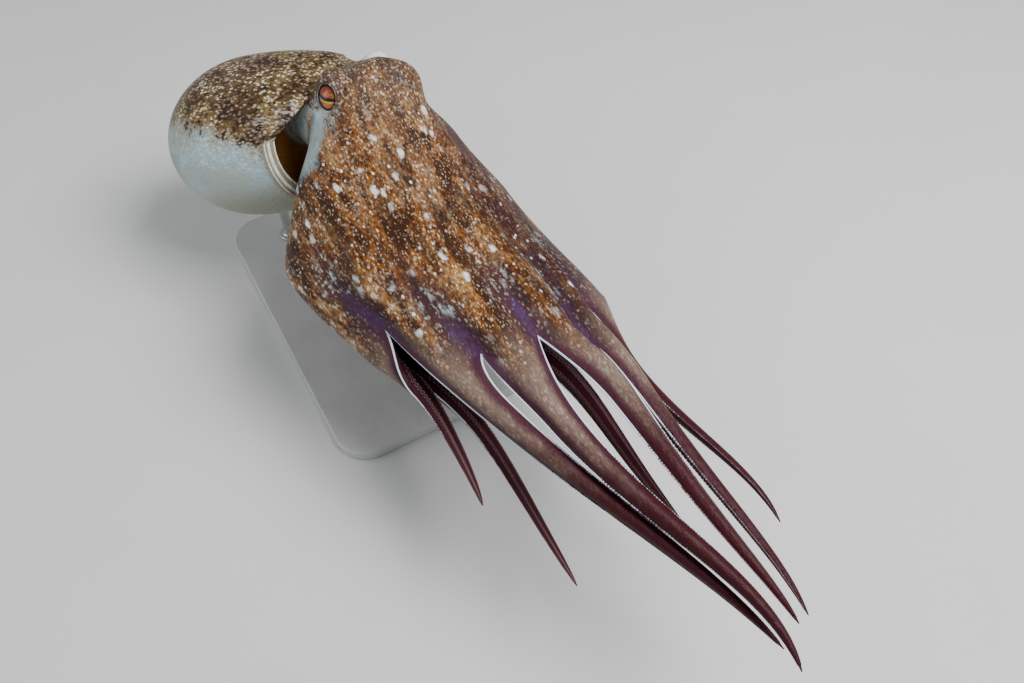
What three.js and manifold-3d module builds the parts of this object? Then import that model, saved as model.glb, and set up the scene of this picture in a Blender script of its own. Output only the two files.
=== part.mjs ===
// A common octopus jetting backwards: rounded mantle, head with raised eyes, webbed crown of eight
// arms trailing behind, held over a flat display base by two short rods. Millimetres, +Z up.
// The animal is worked out in its own frame, which has its origin midway between the eyes, x towards
// the arm tips and y towards the animal's left; everything is then moved over the middle of the base.
import * as THREE from "three";
import { mergeVertices } from "three/addons/utils/BufferGeometryUtils.js";
import Module from "manifold-3d";

// --- placing ---
const EYES_HEIGHT = 232;
const BASE_MIDDLE_X = 30;
const BASE_MIDDLE_Y = -28;
const GAP = 0.3;

// --- stand ---
const BASE_LENGTH = 300;
const BASE_WIDTH = 190;
const BASE_THICK = 12;
const BASE_CORNER = 28;
const BASE_BEVEL = 1.5;
const ROD_RADIUS = 4.5;
const CUP_RADIUS = 11;
const CUP_HEIGHT = 5;
const REAR_ROD = [-84, -72];
const REAR_ROD_TOP = -156.5;
const FRONT_ROD = [126, 2];
const FRONT_ROD_TOP = -159;

// --- crown, as stations along it: 0 at the neck, 1 near the deepest notches between the arms ---
const CROWN_X = [[0, -34], [0.18, 0], [0.5, 78], [1.1, 272]];
const CROWN_Y = [[0, -10], [0.18, -5], [0.5, -17], [0.8, 1], [1.1, 25]];
const CROWN_Z = [[0, -46], [0.18, -40], [0.5, -84], [0.8, -97], [1.1, -98]];
const CROWN_LEAN = [[0, 0], [0.18, 8], [0.5, 36], [1.1, 8]];
const CROWN_HALF_WIDTH = [[0, 43], [0.18, 48], [0.34, 73], [0.52, 95], [0.8, 87], [1.1, 68]];
const CROWN_HALF_HEIGHT = [[0, 37], [0.18, 41.5], [0.34, 58], [0.52, 74], [0.8, 69], [1.1, 54]];
const RIDGE_HEIGHT = [[0.2, 0], [0.6, 0.03], [0.85, 0.055], [1.1, 0.1]];
const MOUTH_STATION = 0.36;
const WEB_THICK = 2.6;
const ARM_THICK = 15;

// --- sectors: whole numbers are the web lines, halves the ridges of the arms, going round from the
// dorsal line by the right side; WEB_BEARING is in degrees and CROWN_TWIST turns the lines on the way ---
const WEB_BEARING = [[0, 0], [1, 33], [2, 66], [3, 116], [4, 168], [5, 240], [6, 318], [7, 334], [8, 360]];
const CROWN_TWIST = [[0.1, 0], [0.45, -15], [0.7, -12], [1, 0]];
const NOTCH_STATION = [0.985, 0.96, 0.765, 0.79, 0.81, 0.8, 0.925, 1.04];
const NOTCH_BULGE = 0.06;

// --- head, turned a little towards the mantle; the eyes are set from its middle: forward, out, up ---
const HEAD_TURN = 18;
const HEAD_MIDDLE = [-9.8, -1.5, -0.4];
const RIGHT_MOUND = { middle: [6, 16, -4], rise: 10.5 };
const LEFT_MOUND = { middle: [8, 22, -4], rise: 21 };
const EYE_SPREAD_ALONG = 31;
const EYE_SPREAD_ACROSS = 22;
const EYEBALL_RADIUS = 12;
const EYEBALL_MIDDLE = [0, 22.7, -3.6];
const GAZE = [-0.02, 0.896, 0.444];
const EYE_DOME = 13.5;
const SWELLINGS = [{ middle: [-2.5, 24.2, -9.6], soft: 2 }, { middle: [-4.5, 17.7, 0.9], soft: 3 }];
const SWELLING_RADIUS = 14;
const ORBIT = 15;
const LID_OPENING = 9.5;

// --- mantle ---
const NECK = new THREE.Vector3(-26, -13.7, -53);
const MANTLE_TURN = 45;
const MANTLE_DROOP = 24;
const MANTLE_LENGTH = 178;
const MANTLE_HALF_WIDTH = 71;
const MANTLE_HALF_HEIGHT = 67;
const MANTLE_TAPER = 0.17;
const LIP = 12;
const POCKET_DEPTH = 24;
const NECK_CUT = 0.62;

// --- funnel, a short tube under the neck ---
const FUNNEL_ROOT = [-17, -9, -76];
const FUNNEL_PITCH = -62;
const FUNNEL_LENGTH = 42;
const FUNNEL_ROOT_RADIUS = 7.5;
const FUNNEL_END_RADIUS = 5.5;
const FUNNEL_WALL = 1.5;

// --- arms: half width along the free part, section shape, and one entry for each arm ---
const ARM_HALF_WIDTH = [[0, 13], [0.12, 10.5], [0.3, 8.2], [0.5, 6.3], [0.75, 4.3], [0.9, 2.8], [1, 1]];
const ARM_DOME = 0.75;
const ARM_SOLE = 0.5;
const ARM_EDGE = 0.45;
const FREE_BLEND = 0.2;
const ROLL_SHARE = 0.3;
const END_PITCH = -3;
const TIP_DROP = -9;
const MIDDLE_CUT = 0.42;
const ARMS = [
  { name: "right_1", sector: 0.5, tip: [518, 66, -78], leave: [-8, -6], arrive: 14, hook: -18, roll: 0 },
  { name: "right_2", sector: 1.5, tip: [500, 55, -88], leave: [11, -3], arrive: 19, hook: -4, roll: 0 },
  { name: "right_3", sector: 2.5, tip: [314, -59, -106], leave: [38, 2], arrive: 9, hook: -5, roll: -65 },
  { name: "right_4", sector: 3.5, tip: [391, -28, -124], leave: [33, 6], arrive: 11, hook: -4, roll: -15 },
  { name: "left_4", sector: 4.5, tip: [393, 56, -116], leave: [44, 6], arrive: 17, hook: -1, roll: 0 },
  { name: "left_3", sector: 5.5, tip: [427, 116, -100], leave: [-22, -12], arrive: 12, hook: -8, roll: -15 },
  { name: "left_2", sector: 6.5, tip: [490, 87, -90], leave: [1, -14.5], arrive: 9, hook: -8, roll: 14 },
  { name: "left_1", sector: 7.5, tip: [495, 70, -68], leave: [6, -6], arrive: 20, hook: -9, roll: 0 },
];

const V = (x, y, z) => new THREE.Vector3(x, y, z);
const rad = THREE.MathUtils.degToRad;
const clamp = THREE.MathUtils.clamp;

// Smooth rise from 0 to 1 between two values.
function rise(from, to, x) {
  const u = clamp((x - from) / (to - from), 0, 1);
  return u * u * (3 - 2 * u);
}

// A smooth curve through named sizes that does not overshoot them.
function through(stations, t) {
  const last = stations.length - 1;
  const at = clamp(t, stations[0][0], stations[last][0]);
  let i = 0;
  while (i < last - 1 && at >= stations[i + 1][0]) i += 1;
  const slope = (j) => (stations[j + 1][1] - stations[j][1]) / (stations[j + 1][0] - stations[j][0]);
  const tangent = (j) => {
    if (j === 0) return slope(0);
    if (j === last) return slope(last - 1);
    const product = slope(j - 1) * slope(j);
    return product <= 0 ? 0 : (2 * product) / (slope(j - 1) + slope(j));
  };
  const width = stations[i + 1][0] - stations[i][0];
  return hermite(stations[i][1], stations[i + 1][1], tangent(i) * width, tangent(i + 1) * width,
    (at - stations[i][0]) / width);
}

function hermite(from, to, leave, arrive, u) {
  const a = 2 * u ** 3 - 3 * u ** 2 + 1;
  const b = u ** 3 - 2 * u ** 2 + u;
  const c = u ** 3 - u ** 2;
  return a * from + b * leave + (1 - a) * to + c * arrive;
}

function hermiteVector(from, to, leave, arrive, u) {
  return V(
    hermite(from.x, to.x, leave.x, arrive.x, u),
    hermite(from.y, to.y, leave.y, arrive.y, u),
    hermite(from.z, to.z, leave.z, arrive.z, u),
  );
}

function heading(turn, pitch) {
  const level = Math.cos(rad(pitch));
  return V(Math.cos(rad(turn)) * level, Math.sin(rad(turn)) * level, Math.sin(rad(pitch)));
}

// Bearing in degrees of a sector at a station of the crown.
function bearingAt(sector, station) {
  const turn = ((sector % 8) + 8) % 8;
  return through(WEB_BEARING, turn) + through(CROWN_TWIST, station);
}

// Station of the web's edge in a sector: a dip at each notch and a swell under each arm.
function webEdge(sector) {
  const turn = ((sector % 8) + 8) % 8;
  const i = Math.floor(turn) % 8;
  const f = turn - Math.floor(turn);
  const base = NOTCH_STATION[i] + (NOTCH_STATION[(i + 1) % 8] - NOTCH_STATION[i]) * f;
  return base + NOTCH_BULGE * Math.sin(Math.PI * f);
}

function crownMiddle(station) {
  return V(through(CROWN_X, station), through(CROWN_Y, station), through(CROWN_Z, station));
}

// A point of the crown's leaning section, inset from the skin by a thickness.
function crownSection(sector, station, inset) {
  const turn = rad(bearingAt(sector, station));
  const lean = rad(through(CROWN_LEAN, station));
  const swell = 1 - through(RIDGE_HEIGHT, station) * Math.cos(2 * Math.PI * sector);
  const side = -Math.sin(turn) * (through(CROWN_HALF_WIDTH, station) * swell - inset);
  const up = Math.cos(turn) * (through(CROWN_HALF_HEIGHT, station) * swell - inset);
  return crownMiddle(station).add(V(up * Math.sin(lean), side, up * Math.cos(lean)));
}

// A step in the turned head's own directions: forward, out to a side, and up.
function headStep(side, [forward, outward, up]) {
  return V(forward, side * outward, up).applyAxisAngle(V(0, 0, 1), rad(HEAD_TURN));
}

function headPoint(side, offset) {
  return V(...HEAD_MIDDLE).add(headStep(side, offset));
}

// The skin pushed out from a middle inside it into the two mounds that carry the eyes.
function raised(point, middle) {
  const out = point.clone().sub(middle).normalize();
  const forward = heading(HEAD_TURN, 0);
  for (const side of [-1, 1]) {
    const mound = side < 0 ? RIGHT_MOUND : LEFT_MOUND;
    const away = point.clone().sub(headPoint(side, mound.middle));
    const along = away.dot(forward);
    const across = Math.sqrt(Math.max(0, away.lengthSq() - along ** 2));
    const reach = (along / EYE_SPREAD_ALONG) ** 2 + (across / EYE_SPREAD_ACROSS) ** 2;
    point.addScaledVector(out, mound.rise * Math.exp(-(reach ** 1.5)));
  }
  const cheeked = SWELLINGS.reduce(
    (moved, { middle: offset, soft }) => swell(moved, headPoint(-1, offset), SWELLING_RADIUS, soft),
    point,
  );
  return [-1, 1].reduce(roundEye, cheeked);
}

// Outer skin of head and crown.
function skin(sector, station) {
  return raised(crownSection(sector, station, 0), crownMiddle(station));
}

// Brings the skin out over an eyeball that would break through it, and down to one set deep in it.
function roundEye(point, side) {
  const middle = headPoint(side, EYEBALL_MIDDLE);
  const away = swell(point, middle, EYE_DOME, 1.2).sub(middle);
  const reach = away.length();
  const near = 1 - rise(9, 19, away.distanceTo(headStep(side, GAZE).multiplyScalar(ORBIT)));
  return middle.addScaledVector(away, (reach + (EYE_DOME - reach) * near) / reach);
}

// Pushes the skin out of a ball, softly.
function swell(point, middle, radius, soft) {
  const away = point.clone().sub(middle);
  const reach = away.length();
  if (reach > 40) return point;
  const full = radius + soft * Math.log1p(Math.exp((reach - radius) / soft));
  return middle.clone().addScaledVector(away, full / reach);
}

// The crown's wall is thick along the arms and thin in the web between them.
function crownThickness(sector, station) {
  const across = Math.abs((((sector % 1) + 1) % 1) - 0.5) * 2;
  const fullness = 1 - across ** 1.5;
  return WEB_THICK + (ARM_THICK - WEB_THICK) * fullness * (1 - rise(0.5, 1.4, station));
}

function lining(sector, station) {
  return crownSection(sector, station, crownThickness(sector, station));
}

// --- mantle ---
const mantleBack = heading(180 + MANTLE_TURN, -MANTLE_DROOP);
const mantleSide = heading(MANTLE_TURN - 90, 0);
const mantleUp = mantleBack.clone().cross(mantleSide);

function mantleFullness(t) {
  if (t < 0.5) return Math.sqrt(Math.max(0, 1 - (1 - 2 * t) ** 2));
  return 1 - MANTLE_TAPER * (2 * t - 1) ** 2;
}

function mantleMiddle(t) {
  return NECK.clone().addScaledVector(mantleBack, MANTLE_LENGTH * (1 - t));
}

function plainMantle(sector, t) {
  const full = mantleFullness(t);
  const turn = rad(bearingAt(sector, 0));
  return mantleMiddle(t)
    .addScaledVector(mantleUp, Math.cos(turn) * MANTLE_HALF_HEIGHT * full)
    .addScaledVector(mantleSide, Math.sin(turn) * MANTLE_HALF_WIDTH * full);
}

function mantleSkin(sector, t) {
  return raised(plainMantle(sector, t), mantleMiddle(t));
}

// 0 on the nape, where mantle and head are one, 1 round the sides and below, where the mantle opens.
function openness(sector) {
  const fromDorsal = Math.abs(((bearingAt(sector, 0) + 540) % 360) - 180);
  return rise(42, 60, fromDorsal);
}

function rimStation(sector) {
  return 0.955 - openness(sector) * (0.055 + 0.1 * Math.sin(rad(bearingAt(sector, 0))));
}

function neckStation(sector) {
  return 0.07 * (1 - openness(sector));
}

// From the mantle's rim to the neck: a smooth nape above, a lip and a pocket elsewhere.
function bridge(sector, w) {
  const open = openness(sector);
  const rim = rimStation(sector);
  const neck = neckStation(sector);
  const step = 0.02;
  const first = plainMantle(sector, rim);
  const last = crownSection(sector, neck, 0);
  const inward = mantleMiddle(rim).sub(first).normalize();
  const reach = first.distanceTo(last) * 0.9;
  const leave = first.clone().sub(plainMantle(sector, rim - step)).normalize().multiplyScalar(reach);
  const arrive = crownSection(sector, neck + step, 0).sub(last).normalize().multiplyScalar(reach);
  const nape = hermiteVector(first, last, leave, arrive, w);
  const stops = [
    [0, first],
    [0.16, first.clone().addScaledVector(inward, LIP).addScaledVector(mantleBack, -1.5)],
    [0.5, first.clone().addScaledVector(inward, LIP * 2).addScaledVector(mantleBack, POCKET_DEPTH)],
    [0.72, crownSection(sector, 0, 0).addScaledVector(mantleBack, POCKET_DEPTH / 2)],
    [1, last],
  ];
  let i = 0;
  while (i < 3 && w >= stops[i + 1][0]) i += 1;
  const width = stops[i + 1][0] - stops[i][0];
  const tangent = (j) => {
    const a = Math.max(0, j - 1);
    const b = Math.min(4, j + 1);
    return stops[b][1].clone().sub(stops[a][1]).multiplyScalar(width / (stops[b][0] - stops[a][0]));
  };
  const fold = hermiteVector(stops[i][1], stops[i + 1][1], tangent(i), tangent(i + 1),
    (w - stops[i][0]) / width);
  const middle = mantleMiddle(rim).lerp(crownMiddle(neck), w);
  return raised(nape.multiplyScalar(1 - open).addScaledVector(fold, open), middle);
}

// --- free arms ---
function armFrame(arm, s) {
  const edge = webEdge(arm.sector);
  const root = skin(arm.sector, edge).add(lining(arm.sector, edge)).multiplyScalar(0.5);
  const tip = V(...arm.tip);
  const third = root.distanceTo(tip) * 0.33;
  const curve = new THREE.CubicBezierCurve3(
    root,
    root.clone().addScaledVector(heading(...arm.leave), third),
    tip.clone().addScaledVector(heading(arm.arrive, END_PITCH), -third),
    tip,
  );
  const hook = V(0, arm.hook, TIP_DROP);
  const middle = curve.getPoint(s).addScaledVector(hook, s ** 7);
  const slope = 0.001;
  const a = Math.min(s, 1 - slope);
  const along = curve.getPoint(a + slope).sub(curve.getPoint(a));
  along.addScaledVector(hook, (a + slope) ** 7 - a ** 7).normalize();
  const turn = rad(bearingAt(arm.sector, edge));
  const out = V(0, -Math.sin(turn), Math.cos(turn));
  out.addScaledVector(along, -out.dot(along)).normalize();
  out.applyAxisAngle(along, -rad(arm.roll) * rise(0, ROLL_SHARE, s));
  return { middle, along, out, side: along.clone().cross(out) };
}

// Skin of a free arm: across from -1 to 1, aboral (outer) or oral (inner) face, s from root to tip.
function armSkin(arm, across, outer, s) {
  const frame = armFrame(arm, s);
  const start = armFrame(arm, 0);
  const sector = arm.sector + (0.5 - gapShare(arm.sector, 0.9)) * across;
  const root = (outer ? skin : lining)(sector, webEdge(sector)).sub(start.middle);
  const free = 1 - (1 - clamp(s / FREE_BLEND, 0, 1)) ** 2;
  const half = through(ARM_HALF_WIDTH, s);
  const dome = half * ARM_DOME * (1 - across ** 2) ** 0.8 + ARM_EDGE;
  const sole = -half * ARM_SOLE * (1 - Math.abs(across) ** 3) - ARM_EDGE;
  return frame.middle
    .addScaledVector(frame.along, root.dot(start.along) * (1 - free))
    .addScaledVector(frame.side, root.dot(start.side) * (1 - free) + half * across * free)
    .addScaledVector(frame.out, root.dot(start.out) * (1 - free) + (outer ? dome : sole) * free);
}

// --- bodies ---
// Reshapes a three.js solid by a function of its unit coordinates and closes it with its faces outward.
function reshape(geometry, place) {
  geometry.deleteAttribute("normal");
  geometry.deleteAttribute("uv");
  geometry.clearGroups();
  const solid = mergeVertices(geometry, 1e-5);
  const points = solid.getAttribute("position");
  for (let i = 0; i < points.count; i += 1) {
    const moved = place(points.getX(i), points.getY(i), points.getZ(i));
    points.setXYZ(i, moved.x, moved.y, moved.z);
  }
  return faceOutward(solid);
}

function faceOutward(solid) {
  const points = solid.getAttribute("position");
  const index = solid.getIndex().array;
  const corner = (i) => V().fromBufferAttribute(points, index[i]);
  let volume = 0;
  for (let i = 0; i < index.length; i += 3) {
    volume += corner(i).dot(corner(i + 1).cross(corner(i + 2)));
  }
  if (volume < 0) {
    for (let i = 0; i < index.length; i += 3) {
      [index[i + 1], index[i + 2]] = [index[i + 2], index[i + 1]];
    }
  }
  return solid;
}

// A bent slab: across and along run from 0 to 1, outer is true on its outer face.
function slab(acrossSteps, alongSteps, place) {
  const box = new THREE.BoxGeometry(1, 1, 1, acrossSteps, 1, alongSteps);
  return reshape(box, (x, y, z) => place(x + 0.5, y > 0, z + 0.5));
}

// A closed loft round an axis: ring(sector, along) for its side, with flat fans over the two ends.
function loft(roundSteps, alongSteps, ring) {
  const tube = new THREE.CylinderGeometry(1, 1, 1, roundSteps, alongSteps, false);
  const endMiddle = (along) => {
    const sum = V(0, 0, 0);
    for (let i = 0; i < roundSteps; i += 1) sum.add(ring((8 * i) / roundSteps, along));
    return sum.divideScalar(roundSteps);
  };
  return reshape(tube, (x, y, z) => {
    const along = y + 0.5;
    if (Math.hypot(x, z) < 0.5) return endMiddle(along);
    return ring((Math.atan2(x, z) * 4) / Math.PI, along);
  });
}

const { Manifold, Mesh } = await Module().then((kit) => {
  kit.setup();
  return kit;
});

function toManifold(geometry) {
  return new Manifold(new Mesh({
    numProp: 3,
    vertProperties: new Float32Array(geometry.getAttribute("position").array),
    triVerts: new Uint32Array(geometry.getIndex().array),
  }));
}

function fromManifold(body) {
  const mesh = body.getMesh();
  const geometry = new THREE.BufferGeometry();
  geometry.setAttribute("position", new THREE.BufferAttribute(mesh.vertProperties, 3));
  geometry.setIndex(new THREE.BufferAttribute(mesh.triVerts, 1));
  return geometry;
}

const cut = (from, away) => fromManifold(toManifold(from).subtract(toManifold(away)));

// Half of the gap between neighbours, as a share of a sector and as a share of the stations.
function gapShare(sector, station) {
  const radius = (through(CROWN_HALF_WIDTH, station) + through(CROWN_HALF_HEIGHT, station)) / 2;
  const degrees = bearingAt(sector + 0.25, station) - bearingAt(sector - 0.25, station);
  return THREE.MathUtils.radToDeg(GAP / 2 / (radius - ARM_THICK)) * 0.5 / ((degrees + 360) % 360);
}
const GAP_STATION = GAP / 2 / 240;

function mantleBody() {
  const skinShare = 0.72;
  return loft(28, 14, (sector, along) => {
    if (along < skinShare) {
      const t = 1 - Math.cos((along / skinShare) * Math.PI / 2);
      return mantleSkin(sector, Math.max(t, 0.0005) * rimStation(sector));
    }
    return bridge(sector, ((along - skinShare) / (1 - skinShare)) * NECK_CUT);
  });
}

function headBody() {
  const bridgeShare = 0.22;
  return loft(36, 12, (sector, along) => {
    if (along < bridgeShare) {
      const w = NECK_CUT + (along / bridgeShare) * (1 - NECK_CUT);
      const shift = GAP * (1 - along / bridgeShare) * 1.4;
      return bridge(sector, w).addScaledVector(mantleBack, -shift);
    }
    const from = neckStation(sector);
    const f = (along - bridgeShare) / (1 - bridgeShare);
    return skin(sector, from + (MOUTH_STATION - GAP_STATION * 2 - from) * f);
  });
}

// An arm's base or the web between two: half a sector of the crown's wall round a middle line.
function wallStrip(centre) {
  return slab(4, 7, (across, outer, along) => {
    const start = MOUTH_STATION + GAP_STATION * 2;
    const whole = centre + 0.25 * (2 * across - 1);
    const station = start + (webEdge(whole) - GAP_STATION * 2 - start) * along;
    const sector = whole - gapShare(whole, station) * (2 * across - 1);
    return (outer ? skin : lining)(sector, station);
  });
}

function armPiece(arm, from, to, acrossSteps, alongSteps) {
  const length = armFrame(arm, 0).middle.distanceTo(armFrame(arm, 1).middle);
  const trim = GAP / 2 / length;
  const start = from > 0 ? from + trim : trim * 5;
  const end = to < 1 ? to - trim : 1;
  return slab(acrossSteps, alongSteps, (across, outer, along) => {
    const s = start + (end - start) * along;
    return armSkin(arm, 2 * across - 1, outer, s);
  });
}

// A ball round the eyeball's middle, or moved out from it along the gaze.
function eyeball(side, radius, outward) {
  const middle = headPoint(side, EYEBALL_MIDDLE).addScaledVector(headStep(side, GAZE), outward);
  const ball = new THREE.SphereGeometry(radius, 14, 10);
  ball.translate(middle.x, middle.y, middle.z);
  return reshape(ball, V);
}

function funnel(head) {
  const aim = heading(0, FUNNEL_PITCH);
  const up = aim.clone().cross(V(0, 1, 0)).normalize();
  const wall = (radiusRoot, radiusEnd, from, to) => loft(12, 2, (sector, along) => {
    const turn = (sector * Math.PI) / 4;
    const radius = radiusRoot + (radiusEnd - radiusRoot) * along;
    return V(...FUNNEL_ROOT)
      .addScaledVector(aim, from + (to - from) * along)
      .addScaledVector(up, Math.cos(turn) * radius)
      .add(V(0, -Math.sin(turn) * radius, 0));
  });
  const tube = wall(FUNNEL_ROOT_RADIUS, FUNNEL_END_RADIUS, 0, FUNNEL_LENGTH);
  const bore = wall(FUNNEL_ROOT_RADIUS - FUNNEL_WALL, FUNNEL_END_RADIUS - FUNNEL_WALL,
    FUNNEL_LENGTH / 2, FUNNEL_LENGTH + 1);
  const clear = head.clone().translate(aim.x * GAP, aim.y * GAP, aim.z * GAP);
  return cut(cut(tube, bore), clear);
}

// --- stand, in the base's own frame ---
function standBase() {
  const outline = new THREE.Shape();
  const x = BASE_LENGTH / 2 - BASE_BEVEL;
  const y = BASE_WIDTH / 2 - BASE_BEVEL;
  const c = BASE_CORNER - BASE_BEVEL;
  outline.moveTo(-x + c, -y);
  outline.lineTo(x - c, -y);
  outline.absarc(x - c, -y + c, c, -Math.PI / 2, 0, false);
  outline.lineTo(x, y - c);
  outline.absarc(x - c, y - c, c, 0, Math.PI / 2, false);
  outline.lineTo(-x + c, y);
  outline.absarc(-x + c, y - c, c, Math.PI / 2, Math.PI, false);
  outline.lineTo(-x, -y + c);
  outline.absarc(-x + c, -y + c, c, Math.PI, Math.PI * 1.5, false);
  const plate = new THREE.ExtrudeGeometry(outline, {
    depth: BASE_THICK - 2 * BASE_BEVEL,
    bevelThickness: BASE_BEVEL,
    bevelSize: BASE_BEVEL,
    bevelSegments: 1,
    curveSegments: 6,
  });
  plate.translate(0, 0, BASE_BEVEL);
  return reshape(plate, V);
}

// A rod from the base's top, ending in a small cup shaped to the body that rests in it.
function standRod(place, top, body) {
  const [x, y] = place;
  const height = EYES_HEIGHT + top - BASE_THICK - GAP;
  const profile = [
    new THREE.Vector2(0, 0),
    new THREE.Vector2(ROD_RADIUS, 0),
    new THREE.Vector2(ROD_RADIUS, height - CUP_HEIGHT),
    new THREE.Vector2(CUP_RADIUS, height - 1),
    new THREE.Vector2(CUP_RADIUS, height),
    new THREE.Vector2(0, height),
  ];
  const rod = new THREE.LatheGeometry(profile, 16);
  rod.rotateX(Math.PI / 2);
  rod.translate(x, y, BASE_THICK + GAP - EYES_HEIGHT);
  const clear = body.clone().translate(0, 0, -GAP);
  return cut(reshape(rod, V), clear);
}

// --- materials, one for each mesh ---
const COATS = {
  mantle_skin: 0x8a7358,
  head_skin: 0x9a6030,
  crown_skin: 0xa8662c,
  web_skin: 0x7a4a5a,
  arm_skin: 0x80505a,
  tip_skin: 0x4a1a26,
  eye: 0xc86410,
  funnel_skin: 0xb0906c,
  stand_plate: 0xc8c6c0,
  stand_rod: 0x9a9c9e,
};

const model = new THREE.Group();
model.name = "octopus";

function add(name, geometry, slot, placed) {
  if (!placed) geometry.translate(-BASE_MIDDLE_X, -BASE_MIDDLE_Y, EYES_HEIGHT);
  geometry.computeVertexNormals();
  const material = new THREE.MeshStandardMaterial({ color: COATS[slot], roughness: 0.55 });
  material.name = slot;
  const mesh = new THREE.Mesh(geometry, material);
  mesh.name = name;
  model.add(mesh);
}

const mantle = mantleBody();
const head = [-1, 1].reduce((body, side) => {
  const opened = cut(body, eyeball(side, LID_OPENING, EYEBALL_RADIUS));
  return cut(opened, eyeball(side, EYEBALL_RADIUS + GAP, 0));
}, headBody());
const restArm = wallStrip(4.5);
add("stand_rod_rear", standRod(REAR_ROD, REAR_ROD_TOP, mantle), "stand_rod");
add("stand_rod_front", standRod(FRONT_ROD, FRONT_ROD_TOP, restArm), "stand_rod");
add("funnel", funnel(head), "funnel_skin");
add("mantle", mantle, "mantle_skin");
add("head", head, "head_skin");
add("eye_right", eyeball(-1, EYEBALL_RADIUS, 0), "eye");
add("eye_left", eyeball(1, EYEBALL_RADIUS, 0), "eye");
for (const arm of ARMS) {
  add(`arm_base_${arm.name}`, wallStrip(arm.sector), "crown_skin");
  add(`arm_middle_${arm.name}`, armPiece(arm, 0, MIDDLE_CUT, 8, 6), "arm_skin");
  add(`arm_tip_${arm.name}`, armPiece(arm, MIDDLE_CUT, 1, 6, 7), "tip_skin");
}
const WEB_NAMES = ["dorsal", "right_1_2", "right_2_3", "right_3_4", "ventral", "left_4_3", "left_3_2",
  "left_2_1"];
WEB_NAMES.forEach((name, i) => add(`web_${name}`, wallStrip(i), "web_skin"));

add("stand_base", standBase(), "stand_plate", true);

export default model;
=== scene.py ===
"""A common octopus jetting backwards, as a life-size still model on a plain two-rod stand.

The skin of the animal is one mesh, worked out from named sizes in the animal's own frame: the origin
midway between the eyes, x towards the arm tips, y towards its left, z up, in millimetres and degrees.
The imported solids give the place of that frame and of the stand.
"""

from collections import namedtuple
from types import SimpleNamespace

import bmesh
import bpy
import numpy as np
from mathutils import Matrix, Vector


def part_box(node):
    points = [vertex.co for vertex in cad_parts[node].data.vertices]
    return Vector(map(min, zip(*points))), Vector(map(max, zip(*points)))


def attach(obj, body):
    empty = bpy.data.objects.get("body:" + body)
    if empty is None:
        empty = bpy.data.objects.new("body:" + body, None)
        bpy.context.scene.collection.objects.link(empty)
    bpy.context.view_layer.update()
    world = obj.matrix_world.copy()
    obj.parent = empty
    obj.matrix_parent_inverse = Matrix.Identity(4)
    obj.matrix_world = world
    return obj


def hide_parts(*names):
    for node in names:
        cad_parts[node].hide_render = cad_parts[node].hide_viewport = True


bl_info = {
    "name": "Octopus model",
    "version": (1, 0, 0),
    "blender": (4, 5, 0),
    "location": "3D View > Sidebar > Octopus",
    "description": "Builds a common octopus on a plain stand, round its packed solids",
    "category": "Add Mesh",
}

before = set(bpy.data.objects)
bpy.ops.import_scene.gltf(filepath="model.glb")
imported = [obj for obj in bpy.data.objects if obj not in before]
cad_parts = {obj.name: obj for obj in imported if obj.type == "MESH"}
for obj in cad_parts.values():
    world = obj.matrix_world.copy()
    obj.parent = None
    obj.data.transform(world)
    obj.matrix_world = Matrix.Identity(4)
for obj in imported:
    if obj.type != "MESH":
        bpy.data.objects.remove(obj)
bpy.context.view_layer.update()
MM = 0.001

# --- crown, as stations along it: 0 at the neck, 1 near the deepest notches between the arms ---
CROWN_X = [(0, -34), (0.18, 0), (0.5, 78), (1.1, 272)]
CROWN_Y = [(0, -10), (0.18, -5), (0.5, -17), (0.8, 1), (1.1, 25)]
CROWN_Z = [(0, -46), (0.18, -40), (0.5, -84), (0.8, -97), (1.1, -98)]
CROWN_LEAN = [(0, 0), (0.18, 8), (0.5, 36), (1.1, 8)]
CROWN_HALF_WIDTH = [(0, 43), (0.18, 48), (0.34, 73), (0.52, 95), (0.8, 87), (1.1, 68)]
CROWN_HALF_HEIGHT = [(0, 37), (0.18, 41.5), (0.34, 58), (0.52, 74), (0.8, 69), (1.1, 54)]
RIDGE_HEIGHT = [(0.2, 0), (0.6, 0.03), (0.85, 0.055), (1.1, 0.1)]
CROWN_PER_STATION = 323
CROWN_THINS = (0.5, 1.4)
MOUTH_STATION = 0.38
MOUTH_DEPTH = 16
LIP_RING_AT, LIP_RING_WIDTH, LIP_RING_HEIGHT = 0.86, 0.06, 3.2
BEAK_AT, BEAK_DEPTH = 0.88, 9

# --- sectors: whole numbers are the web lines and halves the arms, round by the right side ---
SECTORS = 8
WEB_BEARING = [(0, 0), (1, 33), (2, 66), (3, 116), (4, 168), (5, 240), (6, 318), (7, 334), (8, 360)]
CROWN_TWIST = [(0.1, 0), (0.45, -15), (0.7, -12), (1, 0)]
NOTCH_STATION = [0.985, 0.96, 0.765, 0.79, 0.81, 0.8, 0.925, 1.04]
NOTCH_BULGE = 0.06

# --- head, turned a little towards the mantle; the eyes are set from its middle: forward, out, up ---
HEAD_TURN = 18
HEAD_MIDDLE = np.array([-9.8, -1.5, -0.4])
EYE_MOUND = {-1: (6, 16, -4), 1: (12, 22, -4)}
MOUND_SHARE = {-1: 0.5, 1: 1.0}
EYE_SPREAD_ALONG = 31
EYE_SPREAD_ACROSS = 22
EYEBALL_MIDDLE = (0, 22.7, -3.6)
GAZE = (-0.02, 0.896, 0.444)
EYE_DOME = {-1: 13.5, 1: 13.3}
DOME_SOFT = 1.2
# Soft balls of flesh beside an eye: middle, radius, softness
SWELLINGS = {-1: [((-2.5, 24.2, -9.6), 14, 2), ((-4.5, 17.7, 0.9), 14, 3)], 1: []}
SWELL_REACH = 40
ORBIT = 15
ORBIT_EDGE = (9, 19)
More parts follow.
